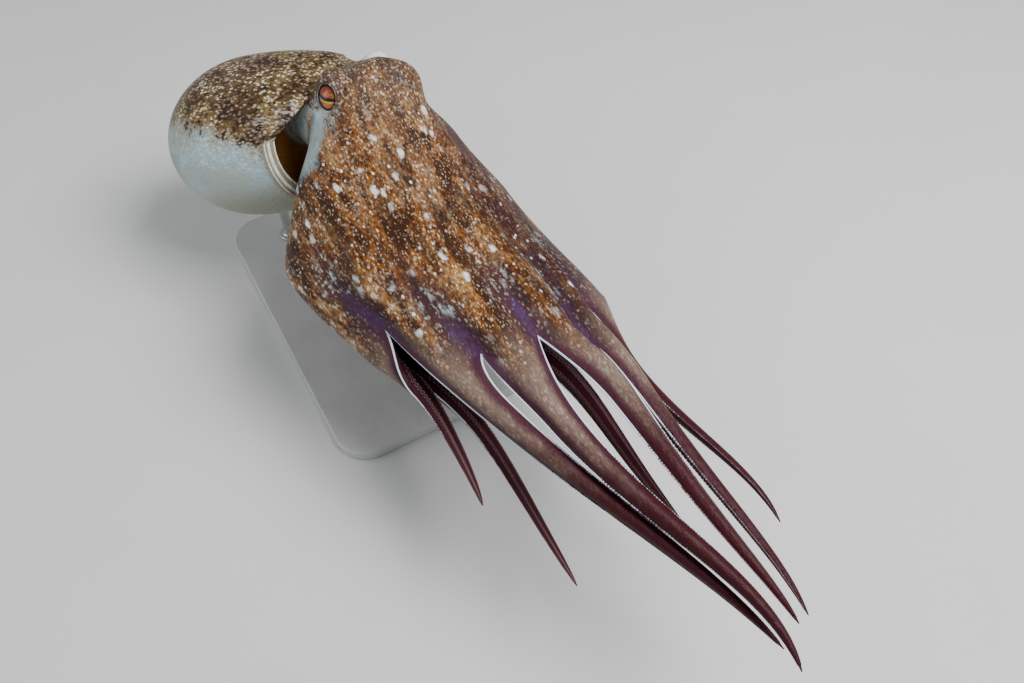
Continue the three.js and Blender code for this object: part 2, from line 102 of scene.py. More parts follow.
# The lids' opening, in degrees from the gaze, and their rolled edge: share of that angle, and height
LID_ANGLE = {-1: 47, 1: 36}
LID_EDGE = [(0.88, -1.6), (0.95, -0.5), (1.0, 0.7), (1.07, 1.5), (1.2, 1.35), (1.4, 1.0), (1.6, 0)]
LID_UNDER = 2
LID_FOLD = (1.05, 1.17)
LID_DOME = (1.1, 1.5)
LID_REACH = (22, 30)
BROW_SWELL = 0.2

# --- mantle and its opening ---
NECK = np.array([-26.0, -13.7, -53.0])
MANTLE_TAPER = 0.17
OPENS_AT = (42, 60)
RIM_TOP, RIM_BACK, RIM_SLANT = 0.955, 0.055, 0.1
NAPE_STATION = 0.07
LIP = 12
LIP_SHARE = 0.16
LIP_ROLL = 1.5
POCKET_DEPTH = 24
LIP_RIDGES = (0.0, 0.05, 0.123)
LIP_RIDGE_WIDTH = 0.012
LIP_RIDGE_HEIGHT = 0.8
# The white of each ridge, by distance from the rim, less than 0 inside: it rises twice, from both sides
LIP_WHITES = [(0.9, 0.2, -1.1, -0.4), (-2.4, -3.2, -5.4, -4.6), (-7.9, -8.6, -10.7, -9.8)]

# --- funnel ---
FUNNEL_ROOT = (-17, -9, -76)
FUNNEL_PITCH = -62
FUNNEL_LENGTH = 42
FUNNEL_RADIUS = [(0, 7.5), (0.7, 5.4), (1, 5.5)]
FUNNEL_WALL = 1.2
FUNNEL_DEPTH = 22
FUNNEL_FOLDS = 5
FUNNEL_FOLD_HEIGHT = 0.05

# --- free arms ---
ARM_HALF_WIDTH = [
    (0, 13), (0.12, 10.5), (0.3, 8.2), (0.5, 6.3), (0.75, 4.3), (0.9, 2.7), (0.97, 1.4), (1, 0.35),
]
ARM_DOME = 0.75
ARM_SOLE = 0.5
ARM_EDGE = 0.45
EDGE_FALLS_AT, EDGE_FALL = 0.9, 0.6
ARM_SIDE = 0.12
FREE_BLEND = 0.2
ROLL_SHARE = 0.3
BEND_SHARE = 0.33
END_PITCH = -3
TIP_DROP = -9
HOOK_POWER = 7
# Where each arm's tip lies, the turn and pitch it leaves the crown with, the turn it arrives with, the
# sideways hook of its end, its roll about itself, and how much of it is dark
Arm = namedtuple("Arm", "name tip leave arrive hook roll dark")
ARMS = [
    Arm("right_1", (518, 66, -78), (-8, -6), 14, -18, 0, 0.2),
    Arm("right_2", (500, 55, -88), (11, -3), 19, -4, 0, 0.2),
    Arm("right_3", (314, -59, -106), (38, 2), 9, -5, -65, 0.35),
    Arm("right_4", (391, -28, -124), (33, 6), 11, -4, -15, 0.8),
    Arm("left_4", (393, 56, -116), (44, 6), 17, -1, 0, 1.0),
    Arm("left_3", (427, 116, -100), (-22, -12), 12, -8, -15, 0.8),
    Arm("left_2", (490, 87, -90), (1, -14.5), 9, -8, 14, 0.35),
    Arm("left_1", (495, 70, -68), (6, -6), 20, -9, 0, 0.3),
]

# --- suckers: sizes from the mouth at -1, by the web's edge at 0, to the arm's tip at 1 ---
SUCKER_SIZES = [(-1.0, 0.75), (-0.35, 1), (0.0, 0.8), (0.45, 0.46), (0.8, 0.24), (1.0, 0.12)]
# Rings of one sucker, from its foot over its rim to its floor: radius, height, paleness
SUCKER_PROFILE = [
    (1.0, -0.25, 0.0), (1.06, 0.32, 0.5), (0.86, 0.5, 1.0), (0.5, 0.28, 0.45), (0.22, 0.08, 0.0),
]
SUCKER_PITCH = 2.15
SUCKER_SIDES = 10
SUCKER_STEP = 0.4
SUCKER_ROW = 0.26
SUCKER_HALF = 0.04
SUCKER_PIT = 0.04
SUCKERS_FROM = 0.46
TIP_SHARE = 0.985

# --- the bright margin of web and arms ---
MARGIN_FALL = 0.78
MARGIN_FALL_POWER = 0.38
BEAD_PITCH = 2.1

# --- markings: how far round the mantle its cap reaches, and pale streaks from one point to another ---
CAP_SIDE, CAP_UP, CAP_SLANT = 0.787, 0.616, 0.36
CHEEK_STREAK = np.array([(8.0, -40.0, -12.0), (27.0, -62.0, -27.0)])
NAPE_STREAK = np.array([(-27.0, -82.0, -28.0), (-12.0, -44.0, -12.0)])

# --- eyeballs ---
SLIT_TILT = 8
EYE_BULGE = 0.02

# --- the stand: a plate and turned rods ---
PLATE_CORNER = 28
PLATE_SOFT = 1.5
ROD_SIDES = 48
# Radius and height from the plate; a height below zero counts down from the rod's top
ROD_PROFILE = [
    (0.01, 0), (8.8, 0), (9.3, 0.2), (9.5, 0.6), (9.5, 2.0), (9.3, 2.5), (8.8, 2.8), (7.0, 3.0), (5.8, 3.5),
    (5.0, 4.5), (4.6, 6.0), (4.5, 8.0), (4.5, -13), (4.7, -12.6), (5.3, -12), (5.6, -11.2), (5.6, -10.6),
    (5.3, -9.8), (4.8, -9.2), (4.8, -8.4), (5.6, -6.8), (7.4, -4.9), (9.4, -3.2), (10.6, -1.8),
    (11.0, -0.9), (10.9, -0.3), (10.4, -0.01), (0.01, -0.01),
]

# --- stage: lights with their place and size in metres, the point they light, and the air's colour ---
KEY_LIGHT = ((0.62, 0.62, 1.45), 0.8)
FILL_LIGHT = ((-0.35, -1.2, 0.9), 1.3)
LIT_POINT = (0.1, 0, 0.15)
AIR = (0.86, 0.92, 1.0, 1.0)
FLOOR_DROP = 0.5

# --- how finely the skin is laid out ---
COLUMNS = 36
GATHERED = 0.45
MANTLE_ROWS = 150
BRIDGE_ROWS = 64
CROWN_ROWS = 260
LINING_ROWS = 80
MOUTH_ROWS = 24
ARM_ROWS = 150
ARM_ROWS_POWER = 0.94
LID_ROWS, LID_SIDES = 30, 120
MARGIN_ROWS, MARGIN_SIDES = 230, 6
FUNNEL_ROWS, FUNNEL_SIDES = 30, 40
EYE_ROWS, EYE_SIDES = 56, 72
JOIN = 0.01
EYE_JOIN = 0.001

# --- marks kept on each point of the skin, for its finish ---
MARKS = ("reach", "across", "oral", "rim", "lid", "above", "dark", "cup")
# Far from any lid, far above any notch, no opening near, and well inside the opening
NO_LID = 9
NO_NOTCH = 300
CLOSED = 90
INSIDE = 75


# --- small numerical helpers ---
def rise(low, high, x):
    """Smooth rise from 0 to 1 between two values."""
    u = np.clip((np.asarray(x, float) - low) / (high - low), 0, 1)
    return u * u * (3 - 2 * u)


def through(stations, t):
    """A smooth curve through named sizes that does not overshoot them."""
    knots = np.array([k for k, _ in stations], float)
    sizes = np.array([v for _, v in stations], float)
    at = np.clip(np.asarray(t, float), knots[0], knots[-1])
    i = np.clip(np.searchsorted(knots, at, side="right") - 1, 0, len(knots) - 2)
    width = np.diff(knots)
    slope = np.diff(sizes) / width
    product = slope[:-1] * slope[1:]
    total = np.where(product > 0, slope[:-1] + slope[1:], 1)
    tangent = np.concatenate([slope[:1], np.where(product > 0, 2 * product / total, 0), slope[-1:]])
    u = (at - knots[i]) / width[i]
    return hermite(sizes[i], sizes[i + 1], tangent[i] * width[i], tangent[i + 1] * width[i], u)


def hermite(start, end, leave, arrive, u):
    """A cubic from start to end with the given slopes."""
    a = 2 * u**3 - 3 * u**2 + 1
    return a * start + (u**3 - 2 * u**2 + u) * leave + (1 - a) * end + (u**3 - u**2) * arrive


def points(x, y, z):
    """Stacks three arrays into an array of points."""
    return np.stack(np.broadcast_arrays(x, y, z), -1).astype(float)


def unit(v):
    """Vectors of length one."""
    return v / np.maximum(np.linalg.norm(v, axis=-1, keepdims=True), 1e-12)


def dot(a, b):
    """Dot products that keep their last axis."""
    return (a * b).sum(-1, keepdims=True)


def size_of(v):
    """Lengths of vectors, that keep their last axis."""
    return np.linalg.norm(v, axis=-1, keepdims=True)


def round_turn(count):
    """Angles round a full turn."""
    return np.linspace(0, 2 * np.pi, count, endpoint=False)


def heading(turn, pitch):
    """A direction from a turn about z and a pitch, in degrees."""
    t, p = np.radians(turn), np.radians(pitch)
    return points(np.cos(t) * np.cos(p), np.sin(t) * np.cos(p), np.sin(p))


def from_line(p, line):
    """Distance of points from the straight line between two."""
    step = line[1] - line[0]
    share = np.clip(dot(p - line[0], step) / (step @ step), 0, 1)
    return size_of(p - line[0] - step * share)[..., 0]


class Form:
    """Points of the animal's skin, in millimetres in its own frame."""

    def __init__(self, shape):
        self.length = shape.mantle_length / MM
        self.half_width = shape.mantle_width / MM / 2
        self.half_height = shape.mantle_height / MM / 2
        self.back = heading(180 + np.degrees(shape.mantle_turn), -np.degrees(shape.mantle_droop))
        self.side = heading(np.degrees(shape.mantle_turn) - 90, 0)
        self.up = np.cross(self.back, self.side)
        self.eye_rise = shape.eye_rise / MM
        self.eye_radius = shape.eye_diameter / MM / 2
        self.web_thick = shape.web_thickness / MM
        self.arm_thick = shape.arm_thickness / MM
        right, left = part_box("eye_right"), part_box("eye_left")
        middle = sum((corner for box in (right, left) for corner in box), Vector()) / 4
        offset = HEAD_MIDDLE + self.head_step(0, EYEBALL_MIDDLE)
        self.origin = np.array(middle) - offset * MM

    def placed(self, p):
        """Points moved from the animal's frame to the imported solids' frame, in metres."""
        return np.asarray(p) * MM + self.origin

    # crown
    def bearing(self, sector, station):
        """Bearing of a sector round the crown, from its top towards its right."""
        return through(WEB_BEARING, np.mod(sector, SECTORS)) + through(CROWN_TWIST, station)

    def web_edge(self, sector):
        """Station where the web ends between two arms, and where an arm leaves it."""
        turn = np.mod(np.asarray(sector, float), SECTORS)
        i = np.floor(turn).astype(int) % SECTORS
        share = turn - np.floor(turn)
        notch = np.array(NOTCH_STATION)
        edge = notch[i] + (notch[(i + 1) % SECTORS] - notch[i]) * share
        return edge + NOTCH_BULGE * np.sin(np.pi * share)

    def crown_middle(self, station):
        """Middle of the crown's ring at a station."""
        return points(through(CROWN_X, station), through(CROWN_Y, station), through(CROWN_Z, station))

    def section(self, sector, station, inset=0.0):
        """The crown's ring at a station, or one inside it by an inset."""
        turn = np.radians(self.bearing(sector, station))
        lean = np.radians(through(CROWN_LEAN, station))
        swell = 1 - through(RIDGE_HEIGHT, station) * np.cos(2 * np.pi * np.asarray(sector))
        side = -np.sin(turn) * (through(CROWN_HALF_WIDTH, station) * swell - inset)
        up = np.cos(turn) * (through(CROWN_HALF_HEIGHT, station) * swell - inset)
        return self.crown_middle(station) + points(up * np.sin(lean), side, up * np.cos(lean))

    def head_step(self, side, step):
        """A step in the turned head's own directions: forward, out to a side, and up."""
        forward = heading(HEAD_TURN, 0)
        outward = np.array([-forward[1], forward[0], 0.0])
        return forward * step[0] + outward * side * step[1] + np.array([0, 0, 1.0]) * step[2]

    def raised(self, p, middle):
        """The skin pushed out from a middle inside it into the two mounds that carry the eyes."""
        out = unit(p - middle)
        forward = heading(HEAD_TURN, 0)
        for side in (-1, 1):
            away = p - HEAD_MIDDLE - self.head_step(side, EYE_MOUND[side])
            along = dot(away, forward)
            across = np.maximum(dot(away, away) - along**2, 0)
            far = ((along / EYE_SPREAD_ALONG) ** 2 + across / EYE_SPREAD_ACROSS**2) ** 1.5
            p = p + out * self.eye_rise * MOUND_SHARE[side] * np.exp(-far)
        for side in (-1, 1):
            p = self.round_eye(p, side)
        return p

    def skin(self, sector, station):
        """Outer skin of head and crown, with the mounds of the eyes."""
        return self.raised(self.section(sector, station), self.crown_middle(station))

    def round_eye(self, p, side):
        """Brings the skin out over an eyeball that would break through it, and down to one set deep in it."""
        for step, radius, soft in SWELLINGS[side]:
            p = self.swell(p, HEAD_MIDDLE + self.head_step(side, step), radius, soft)
        middle, gaze = self.eye(side)[:2]
        dome = EYE_DOME[side]
        p = self.swell(p, middle, dome, DOME_SOFT)
        away = p - middle
        reach = size_of(away)
        near = 1 - rise(*ORBIT_EDGE, size_of(away - gaze * ORBIT))
        return middle + away / reach * (reach + (dome - reach) * near)

    def swell(self, p, middle, radius, soft):
        """Pushes the skin out of a ball, softly."""
        away = p - middle
        reach = size_of(away)
        full = radius + soft * np.logaddexp(0, (reach - radius) / soft)
        return middle + away / reach * np.where(reach < SWELL_REACH, full, reach)

    def thickness(self, sector, station):
        """Thickness of the crown's wall: thin in the webs, full along the arms near the mouth."""
        across = np.abs(np.mod(sector, 1) - 0.5) * 2
        full = (1 - across**1.5) * (1 - rise(*CROWN_THINS, station))
        return self.web_thick + (self.arm_thick - self.web_thick) * full

    def lining(self, sector, station):
        """Oral face of the crown's wall."""
        return self.section(sector, station, self.thickness(sector, station))

    def eye(self, side):
        """Middle of an eyeball, its gaze, and its level and upright directions."""
        middle = HEAD_MIDDLE + self.head_step(side, EYEBALL_MIDDLE)
        gaze = unit(self.head_step(side, GAZE))
        level = unit(np.cross([0, 0, 1], gaze))
        return middle, gaze, level, np.cross(gaze, level)

    def lids(self, p):
        """Folds the skin into lids round the eyeballs, and tells how far off each gaze every point lies:
        1 at the lids' opening, and past it the more the farther out."""
        nearest = np.full(p.shape[:-1], float(NO_LID))
        for side in (-1, 1):
            middle, gaze = self.eye(side)[:2]
            away = p - middle
            height = away @ gaze
            flat = away - gaze * height[..., None]
            wide = size_of(flat)[..., 0]
            share = wide / (self.eye_radius * np.sin(np.radians(LID_ANGLE[side])))
            share = share + NO_LID * (1 - rise(-2, 2, height)) + NO_LID * rise(*LID_REACH, height)
            dome = np.sqrt(np.maximum(EYE_DOME[side] ** 2 - wide**2, 0))
            inner = np.sqrt(np.maximum((self.eye_radius - LID_UNDER) ** 2 - wide**2, 0))
            outer = dome + (height - dome) * rise(*LID_DOME, share)
            target = inner + (outer - inner) * rise(*LID_FOLD, share)
            p = middle + flat + gaze * target[..., None]
            nearest = np.minimum(nearest, share)
        return p, nearest

    def lid_edge(self, side, angle, turn):
        """The rolled edge of both lids, round the gaze; angle is 1 at the opening."""
        middle, gaze, level, upright = self.eye(side)
        brow = np.sin(turn)
        radius = self.eye_radius + through(LID_EDGE, angle) * (1 + BROW_SWELL * brow)
        tilt = np.radians(LID_ANGLE[side]) * angle
        outward = np.cos(turn)[..., None] * level + brow[..., None] * upright
        way = np.cos(tilt)[..., None] * gaze + np.sin(tilt)[..., None] * outward
        return middle + way * radius[..., None]

    # mantle
    def mantle_middle(self, t):
        """Middle of the mantle's ring: t runs from 0 at its far end to 1 at the neck."""
        return NECK + self.back * (self.length * (1 - np.asarray(t, float)))[..., None]

    def plain_mantle(self, sector, t):
        """The mantle before the eyes' mounds are raised."""
        t = np.asarray(t, float)
        turn = np.radians(self.bearing(sector, 0.0))
        blunt = np.sqrt(np.clip(1 - (1 - 2 * t) ** 2, 0, 1))
        full = np.where(t < 0.5, blunt, 1 - MANTLE_TAPER * (2 * t - 1) ** 2)[..., None]
        p = self.mantle_middle(t) + self.up * np.cos(turn)[..., None] * self.half_height * full
        return p + self.side * np.sin(turn)[..., None] * self.half_width * full

    def mantle(self, sector, t):
        """The mantle's skin."""
        return self.raised(self.plain_mantle(sector, t), self.mantle_middle(t))

    def openness(self, sector):
        """0 on the nape, where mantle and head are one, 1 where the mantle opens."""
        return rise(*OPENS_AT, np.abs(np.mod(self.bearing(sector, 0.0) + 180, 360) - 180))

    def rim(self, sector):
        """Where the mantle ends, from 0 at its far end to 1 at the neck."""
        slant = RIM_SLANT * np.sin(np.radians(self.bearing(sector, 0.0)))
        return RIM_TOP - self.openness(sector) * (RIM_BACK + slant)

    def neck(self, sector):
        """Station where the crown begins."""
        return NAPE_STATION * (1 - self.openness(sector))

    def bridge(self, sector, w):
        """From the mantle's rim to the neck: a smooth nape above, a lip and a pocket elsewhere."""
        sector, w = np.broadcast_arrays(np.asarray(sector, float), np.asarray(w, float))
        open_ = self.openness(sector)[..., None]
        rim, neck = self.rim(sector), self.neck(sector)
        step = 0.02
        first, last = self.plain_mantle(sector, rim), self.section(sector, neck)
        inward = unit(self.mantle_middle(rim) - first)
        reach = size_of(last - first) * 0.9
        leave = unit(first - self.plain_mantle(sector, rim - step)) * reach
        arrive = unit(self.section(sector, neck + step) - last) * reach
        nape = hermite(first, last, leave, arrive, w[..., None])
        # round the lip, into the pocket and back up to the neck: share of the way, and the point there
        stops = [
            (0.0, first),
            (LIP_SHARE, first + inward * LIP - self.back * LIP_ROLL),
            (0.5, first + inward * LIP * 2 + self.back * POCKET_DEPTH),
            (0.72, self.section(sector, 0 * sector) + self.back * POCKET_DEPTH / 2),
            (1.0, last),
        ]
        knots = np.array([k for k, _ in stops])
        at = np.clip(np.searchsorted(knots, w, side="right") - 1, 0, 3)
        fold = np.zeros_like(first)
        for i in range(4):
            width = knots[i + 1] - knots[i]
            ends = []
            for j in (i, i + 1):
                a, b = max(0, j - 1), min(4, j + 1)
                ends.append((stops[b][1] - stops[a][1]) * width / (knots[b] - knots[a]))
            u = ((w - knots[i]) / width)[..., None]
            piece = hermite(stops[i][1], stops[i + 1][1], ends[0], ends[1], u)
            fold = np.where((at == i)[..., None], piece, fold)
        middle = self.mantle_middle(rim)
        middle = middle + (self.crown_middle(neck) - middle) * w[..., None]
        return self.raised(nape * (1 - open_) + fold * open_, middle)

    # free arms
    def arm_path(self, i, s):
        """Points along the middle of an arm, from the web's edge at 0 to its tip at 1."""
        arm = ARMS[i]
        sector = i + 0.5
        edge = self.web_edge(sector)
        root = (self.skin(sector, edge) + self.lining(sector, edge)) / 2
        tip = np.array(arm.tip, float)
        third = np.linalg.norm(tip - root) * BEND_SHARE
        near = root + heading(*arm.leave) * third
        far = tip - heading(arm.arrive, END_PITCH) * third
        u = np.asarray(s, float)[..., None]
        hook = np.array([0, arm.hook, TIP_DROP], float)
        p = (1 - u) ** 3 * root + 3 * (1 - u) ** 2 * u * near + 3 * (1 - u) * u**2 * far + u**3 * tip
        return p + hook * u**HOOK_POWER

    def arm_frame(self, i, s):
        """Points on an arm's middle, with the directions along it, across it and out of its back."""
        s = np.asarray(s, float)
        step = 0.001
        a = np.minimum(s, 1 - step)
        along = unit(self.arm_path(i, a + step) - self.arm_path(i, a))
        sector = i + 0.5
        turn = np.radians(self.bearing(sector, self.web_edge(sector)))
        out = points(0, -np.sin(turn), np.cos(turn))
        out = unit(out - along * dot(along, out))
        side = np.cross(along, out)
        roll = (np.radians(ARMS[i].roll) * rise(0, ROLL_SHARE, s))[..., None]
        across = side * np.cos(roll) + out * np.sin(roll)
        return self.arm_path(i, s), along, across, out * np.cos(roll) - side * np.sin(roll)

    def arm_skin(self, i, across, outer, s):
        """Skin of a free arm: across from -1 to 1, on its outer or its oral face, s from root to tip."""
        across, s = np.broadcast_arrays(np.asarray(across, float), np.asarray(s, float))
        middle, along, side, out = self.arm_frame(i, s)
        start, start_along, start_side, start_out = self.arm_frame(i, 0.0)
        sector = i + 0.5 + 0.5 * across
        face = self.skin if outer else self.lining
        root = face(sector, self.web_edge(np.clip(sector, i + 1e-9, i + 1 - 1e-9))) - start
        free = (1 - (1 - np.clip(s / FREE_BLEND, 0, 1)) ** 2)[..., None]
        half = through(ARM_HALF_WIDTH, s)
        edge = ARM_EDGE * (1 - EDGE_FALL * rise(EDGE_FALLS_AT, 1, s))
        if outer:
            height = half * ARM_DOME * (1 - across**2) ** 0.8 + edge
        else:
            height = -half * ARM_SOLE * (1 - np.abs(across) ** 3) - edge
        p = middle + along * dot(root, start_along) * (1 - free)
        p = p + side * (dot(root, start_side) * (1 - free) + (half * across)[..., None] * free)
        return p + out * (dot(root, start_out) * (1 - free) + height[..., None] * free)

    def arm_side(self, i, s):
        """How far an arm's rounded sides stand out past its two faces, as steps to one side."""
        bulge = ARM_SIDE * through(ARM_HALF_WIDTH, s) * rise(0, FREE_BLEND, s)
        return self.arm_frame(i, s)[2] * bulge[..., None]

    def arm_length(self, i):
        """Length of an arm along its middle."""
        path = self.arm_path(i, np.linspace(0, 1, 60))
        return np.linalg.norm(np.diff(path, axis=0), axis=1).sum()

    def on_hood(self, p):
        """Coordinates that run along the mantle, across it and up from it."""
        away = p - NECK
        return points(-away @ self.back, -away @ self.side, away @ self.up)


# --- meshes ---
def keep(mesh, name, values):
    """Keeps a number or a vector on each point of a mesh."""
    flat = values.ndim == 1
    layer = mesh.attributes.new(name, "FLOAT" if flat else "FLOAT_VECTOR", "POINT")
    layer.data.foreach_set("value" if flat else "vector", values.ravel().astype(np.float32))


def smooth_mesh(name, p, faces):
    """A smooth mesh from points in metres and the faces that index them."""
    mesh = bpy.data.meshes.new(name)
    mesh.from_pydata(p.reshape(-1, 3).tolist(), [], faces)
    mesh.polygons.foreach_set("use_smooth", np.ones(len(mesh.polygons), bool))
    return mesh


def weld(mesh, join):
    """Joins points that lie closer than a length, drops slivers, and turns all faces outward."""
    work = bmesh.new()
    work.from_mesh(mesh)
    bmesh.ops.remove_doubles(work, verts=work.verts, dist=join)
    bmesh.ops.dissolve_degenerate(work, edges=work.edges, dist=join / 5)
    bmesh.ops.recalc_face_normals(work, faces=work.faces)
    work.to_mesh(mesh)
    work.free()


def put(name, data):
    """Puts a new object with its data into the scene."""
    made = bpy.data.objects.new(name, data)
    bpy.context.scene.collection.objects.link(made)
    return made


class Shell:
    """Gathers grids of points with their marks, and makes one welded mesh of them."""

    def __init__(self, form):
        self.form = form
        self.points = []
        self.faces = []
        self.marks = {name: [] for name in MARKS}
        self.slots = []
        self.count = 0

    def add(self, p, faces, slot=0, **marks):
        """Adds an array of points, faces that index it, and marks given for each point or for all."""
        flat = p.reshape(-1, 3)
        shape = p.shape[:-1]
        self.points.append(flat)
        self.faces.append(np.asarray(faces) + self.count)
        self.slots.append(np.full(len(faces), slot))
        for name in MARKS:
            value = marks.get(name, NO_LID if name == "lid" else 0)
            self.marks[name].append(np.broadcast_to(value, shape).reshape(-1).astype(float))
        self.count += len(flat)

    def build(self, name, materials):
        """Makes the mesh object and welds it where grids meet."""
        skin = np.concatenate(self.points)
        faces = [face for grid in self.faces for face in grid.tolist()]
        mesh = smooth_mesh(name, self.form.placed(skin), faces)
        mesh.polygons.foreach_set("material_index", np.concatenate(self.slots).astype(np.int32))
        for mark in MARKS:
            keep(mesh, mark, np.concatenate(self.marks[mark]))
        keep(mesh, "cheek", from_line(skin, CHEEK_STREAK))
        keep(mesh, "nape", from_line(skin, NAPE_STREAK))
        keep(mesh, "far_eye", size_of(skin - self.form.eye(1)[0])[:, 0])
        keep(mesh, "along_arms", skin - NECK)
        keep(mesh, "along_mantle", self.form.on_hood(skin))
        for material in materials:
            mesh.materials.append(material)
        weld(mesh, JOIN * MM)
        return put(name, mesh)


def grid_faces(rows, columns, closed=False):
    """Quads of a grid of rows by columns of points, closed round its columns or not."""
    last = columns if closed else columns - 1
    r, c = np.meshgrid(np.arange(rows - 1), np.arange(last), indexing="ij")
    d = (c + 1) % columns
    quads = np.stack([r * columns + c, r * columns + d, (r + 1) * columns + d, (r + 1) * columns + c], -1)
    return quads.reshape(-1, 4)


def fan_faces(sides):
    """Triangles from the points of a ring to the point that follows them."""
    return np.array([[j, (j + 1) % sides, sides] for j in range(sides)])


# --- the skin, patch by patch ---
def skin_columns():
    """Sector of each column of the body: a little closer together at the web lines."""
    step = np.arange(COLUMNS) / COLUMNS
    inside = step - GATHERED * np.sin(2 * np.pi * step) / (2 * np.pi)
    return (np.arange(SECTORS)[:, None] + inside[None, :]).ravel()


def across_of(sector):
    """-1 to 1 across each arm's sector, 0 on its ridge."""
    return (np.mod(sector, 1) - 0.5) * 2


def add_body(shell):
    """Mantle, neck, head and the outer face of the webbed crown, as one grid of rings."""
    form = shell.form
    sector = skin_columns()[None, :]
    rows = MANTLE_ROWS + BRIDGE_ROWS + CROWN_ROWS
    open_ = form.openness(sector)
    # mantle, its rows closest together at its far end
    row = np.linspace(0, 1, MANTLE_ROWS, endpoint=False)[:, None]
    rim = form.rim(sector)
    t = (1 - np.cos(row * np.pi / 2)) * rim
    mantle = form.mantle(sector, t)
    # neck
    w = np.linspace(0, 1, BRIDGE_ROWS, endpoint=False)[:, None] + 0 * sector
    ridges = sum(np.exp(-(((w - at) / LIP_RIDGE_WIDTH) ** 2)) for at in LIP_RIDGES)
    ridges = (LIP_RIDGE_HEIGHT * ridges * open_)[..., None]
    neck, lid_neck = form.lids(form.bridge(sector, w) - form.back * ridges)
    # crown, its rows closest together on the head
    row = np.linspace(0, 1, CROWN_ROWS)[:, None]
    start = form.neck(sector)
    edge = form.web_edge(sector)
    station = start + (edge - start) * row * (0.4 + 0.6 * row)
    crown, lid_crown = form.lids(form.skin(sector, station))
    closed = CLOSED * (1 - open_)
    from_rim = [(rim - t) * form.length, -LIP * w / LIP_SHARE * open_, 0 * station - INSIDE * open_]
    shell.add(
        np.concatenate([mantle, neck, crown]),
        grid_faces(rows, SECTORS * COLUMNS, closed=True),
        reach=np.concatenate([t / rim - 2, w - 1, (station - start) / (edge - start)]),
        across=abs(across_of(sector)),
        rim=np.concatenate(from_rim) + closed,
        lid=np.concatenate([0 * t + NO_LID, lid_neck, lid_crown]),
        above=np.concatenate([0 * t + NO_NOTCH, 0 * w + NO_NOTCH, (edge - station) * CROWN_PER_STATION]),
    )


def add_lids(shell):
    """The rolled edge of the lids round each eyeball."""
    turn = round_turn(LID_SIDES)[None, :]
    angle = np.linspace(LID_EDGE[0][0], LID_EDGE[-1][0], LID_ROWS)[:, None]
    faces = grid_faces(LID_ROWS, LID_SIDES, closed=True)
    for side in (-1, 1):
        p = shell.form.lid_edge(side, angle + 0 * turn, turn + 0 * angle)
        shell.add(p, faces, lid=angle, above=NO_NOTCH, rim=CLOSED, reach=0.1)


def add_lining(shell):
    """Oral face of the webs, from their edge back to the mouth at the bottom of a bowl."""
    form = shell.form
    sector = skin_columns()[None, :]
    row = np.linspace(0, 1, LINING_ROWS, endpoint=False)[:, None]
    edge = form.web_edge(sector)
    station = edge + (MOUTH_STATION - edge) * row
    wall = form.lining(sector, station)
    inward = np.linspace(0, 1, MOUTH_ROWS)[:, None]
    brim = form.lining(sector, 0 * sector + MOUTH_STATION)
    middle = form.crown_middle(np.array(MOUTH_STATION))
    bowl = brim + (middle - brim) * inward[..., None]
    lips = np.exp(-(((inward - LIP_RING_AT) / LIP_RING_WIDTH) ** 2)) * LIP_RING_HEIGHT
    pucker = lips - rise(BEAK_AT, 1, inward) * BEAK_DEPTH
    bowl = bowl + points(pucker - MOUTH_DEPTH * np.sin(inward * np.pi / 2), 0, 0)
    shell.add(
        np.concatenate([wall, bowl]),
        grid_faces(LINING_ROWS + MOUTH_ROWS, SECTORS * COLUMNS, closed=True),
        reach=np.concatenate([station / edge, 0.4 * (1 - inward) + 0 * sector]),
        across=abs(across_of(sector)),
        oral=1,
        above=np.concatenate([(edge - station) * CROWN_PER_STATION, NO_NOTCH + 0 * bowl[..., 0]]),
    )


def add_arm(shell, i):
    """A free arm from the web's edge to its tip, closed round its two faces."""
    form = shell.form
    columns = np.append(skin_columns()[:COLUMNS], 1.0)
    across = np.clip((columns - 0.5) * 2, -1, 1)[None, :]
    s = (np.linspace(0, 1, ARM_ROWS) ** ARM_ROWS_POWER)[:, None]
    outer = form.arm_skin(i, across, True, s)
    oral = form.arm_skin(i, across[:, ::-1], False, s)
    bulge = form.arm_side(i, s)
    far = (outer[:, -1:] + oral[:, :1]) / 2 + bulge
    near = (outer[:, :1] + oral[:, -1:]) / 2 - bulge
    ring = np.concatenate([outer, far, oral, near], 1)
    count = ring.shape[1]
    side = np.ones((1, 1))
    outer_side = np.concatenate([0 * across, side / 2, 0 * across + 1, side / 2], 1)
    length = form.arm_length(i)
    shell.add(
        ring,
        grid_faces(ARM_ROWS, count, closed=True),
        reach=1 + s,
        across=abs(np.concatenate([across, side, across[:, ::-1], side], 1)),
        oral=outer_side,
        above=-s * length,
        dark=ARMS[i].dark,
    )
    tip = np.concatenate([ring[-1], ring[-1].mean(0)[None, :]])
    shell.add(tip, fan_faces(count), reach=2, dark=ARMS[i].dark, above=-length)


def sucker_places(row, largest, inner, length):
    """Distance from the web's edge and radius of each sucker of one row, from the mouth to the tip."""
    places = []
    at = -inner + (largest if row > 0 else 0)
    while at < length * TIP_SHARE:
        radius = float(through(SUCKER_SIZES, at / (length if at > 0 else inner))) * largest
        places.append((at, radius))
        at += SUCKER_PITCH * radius
    return np.array(places).T


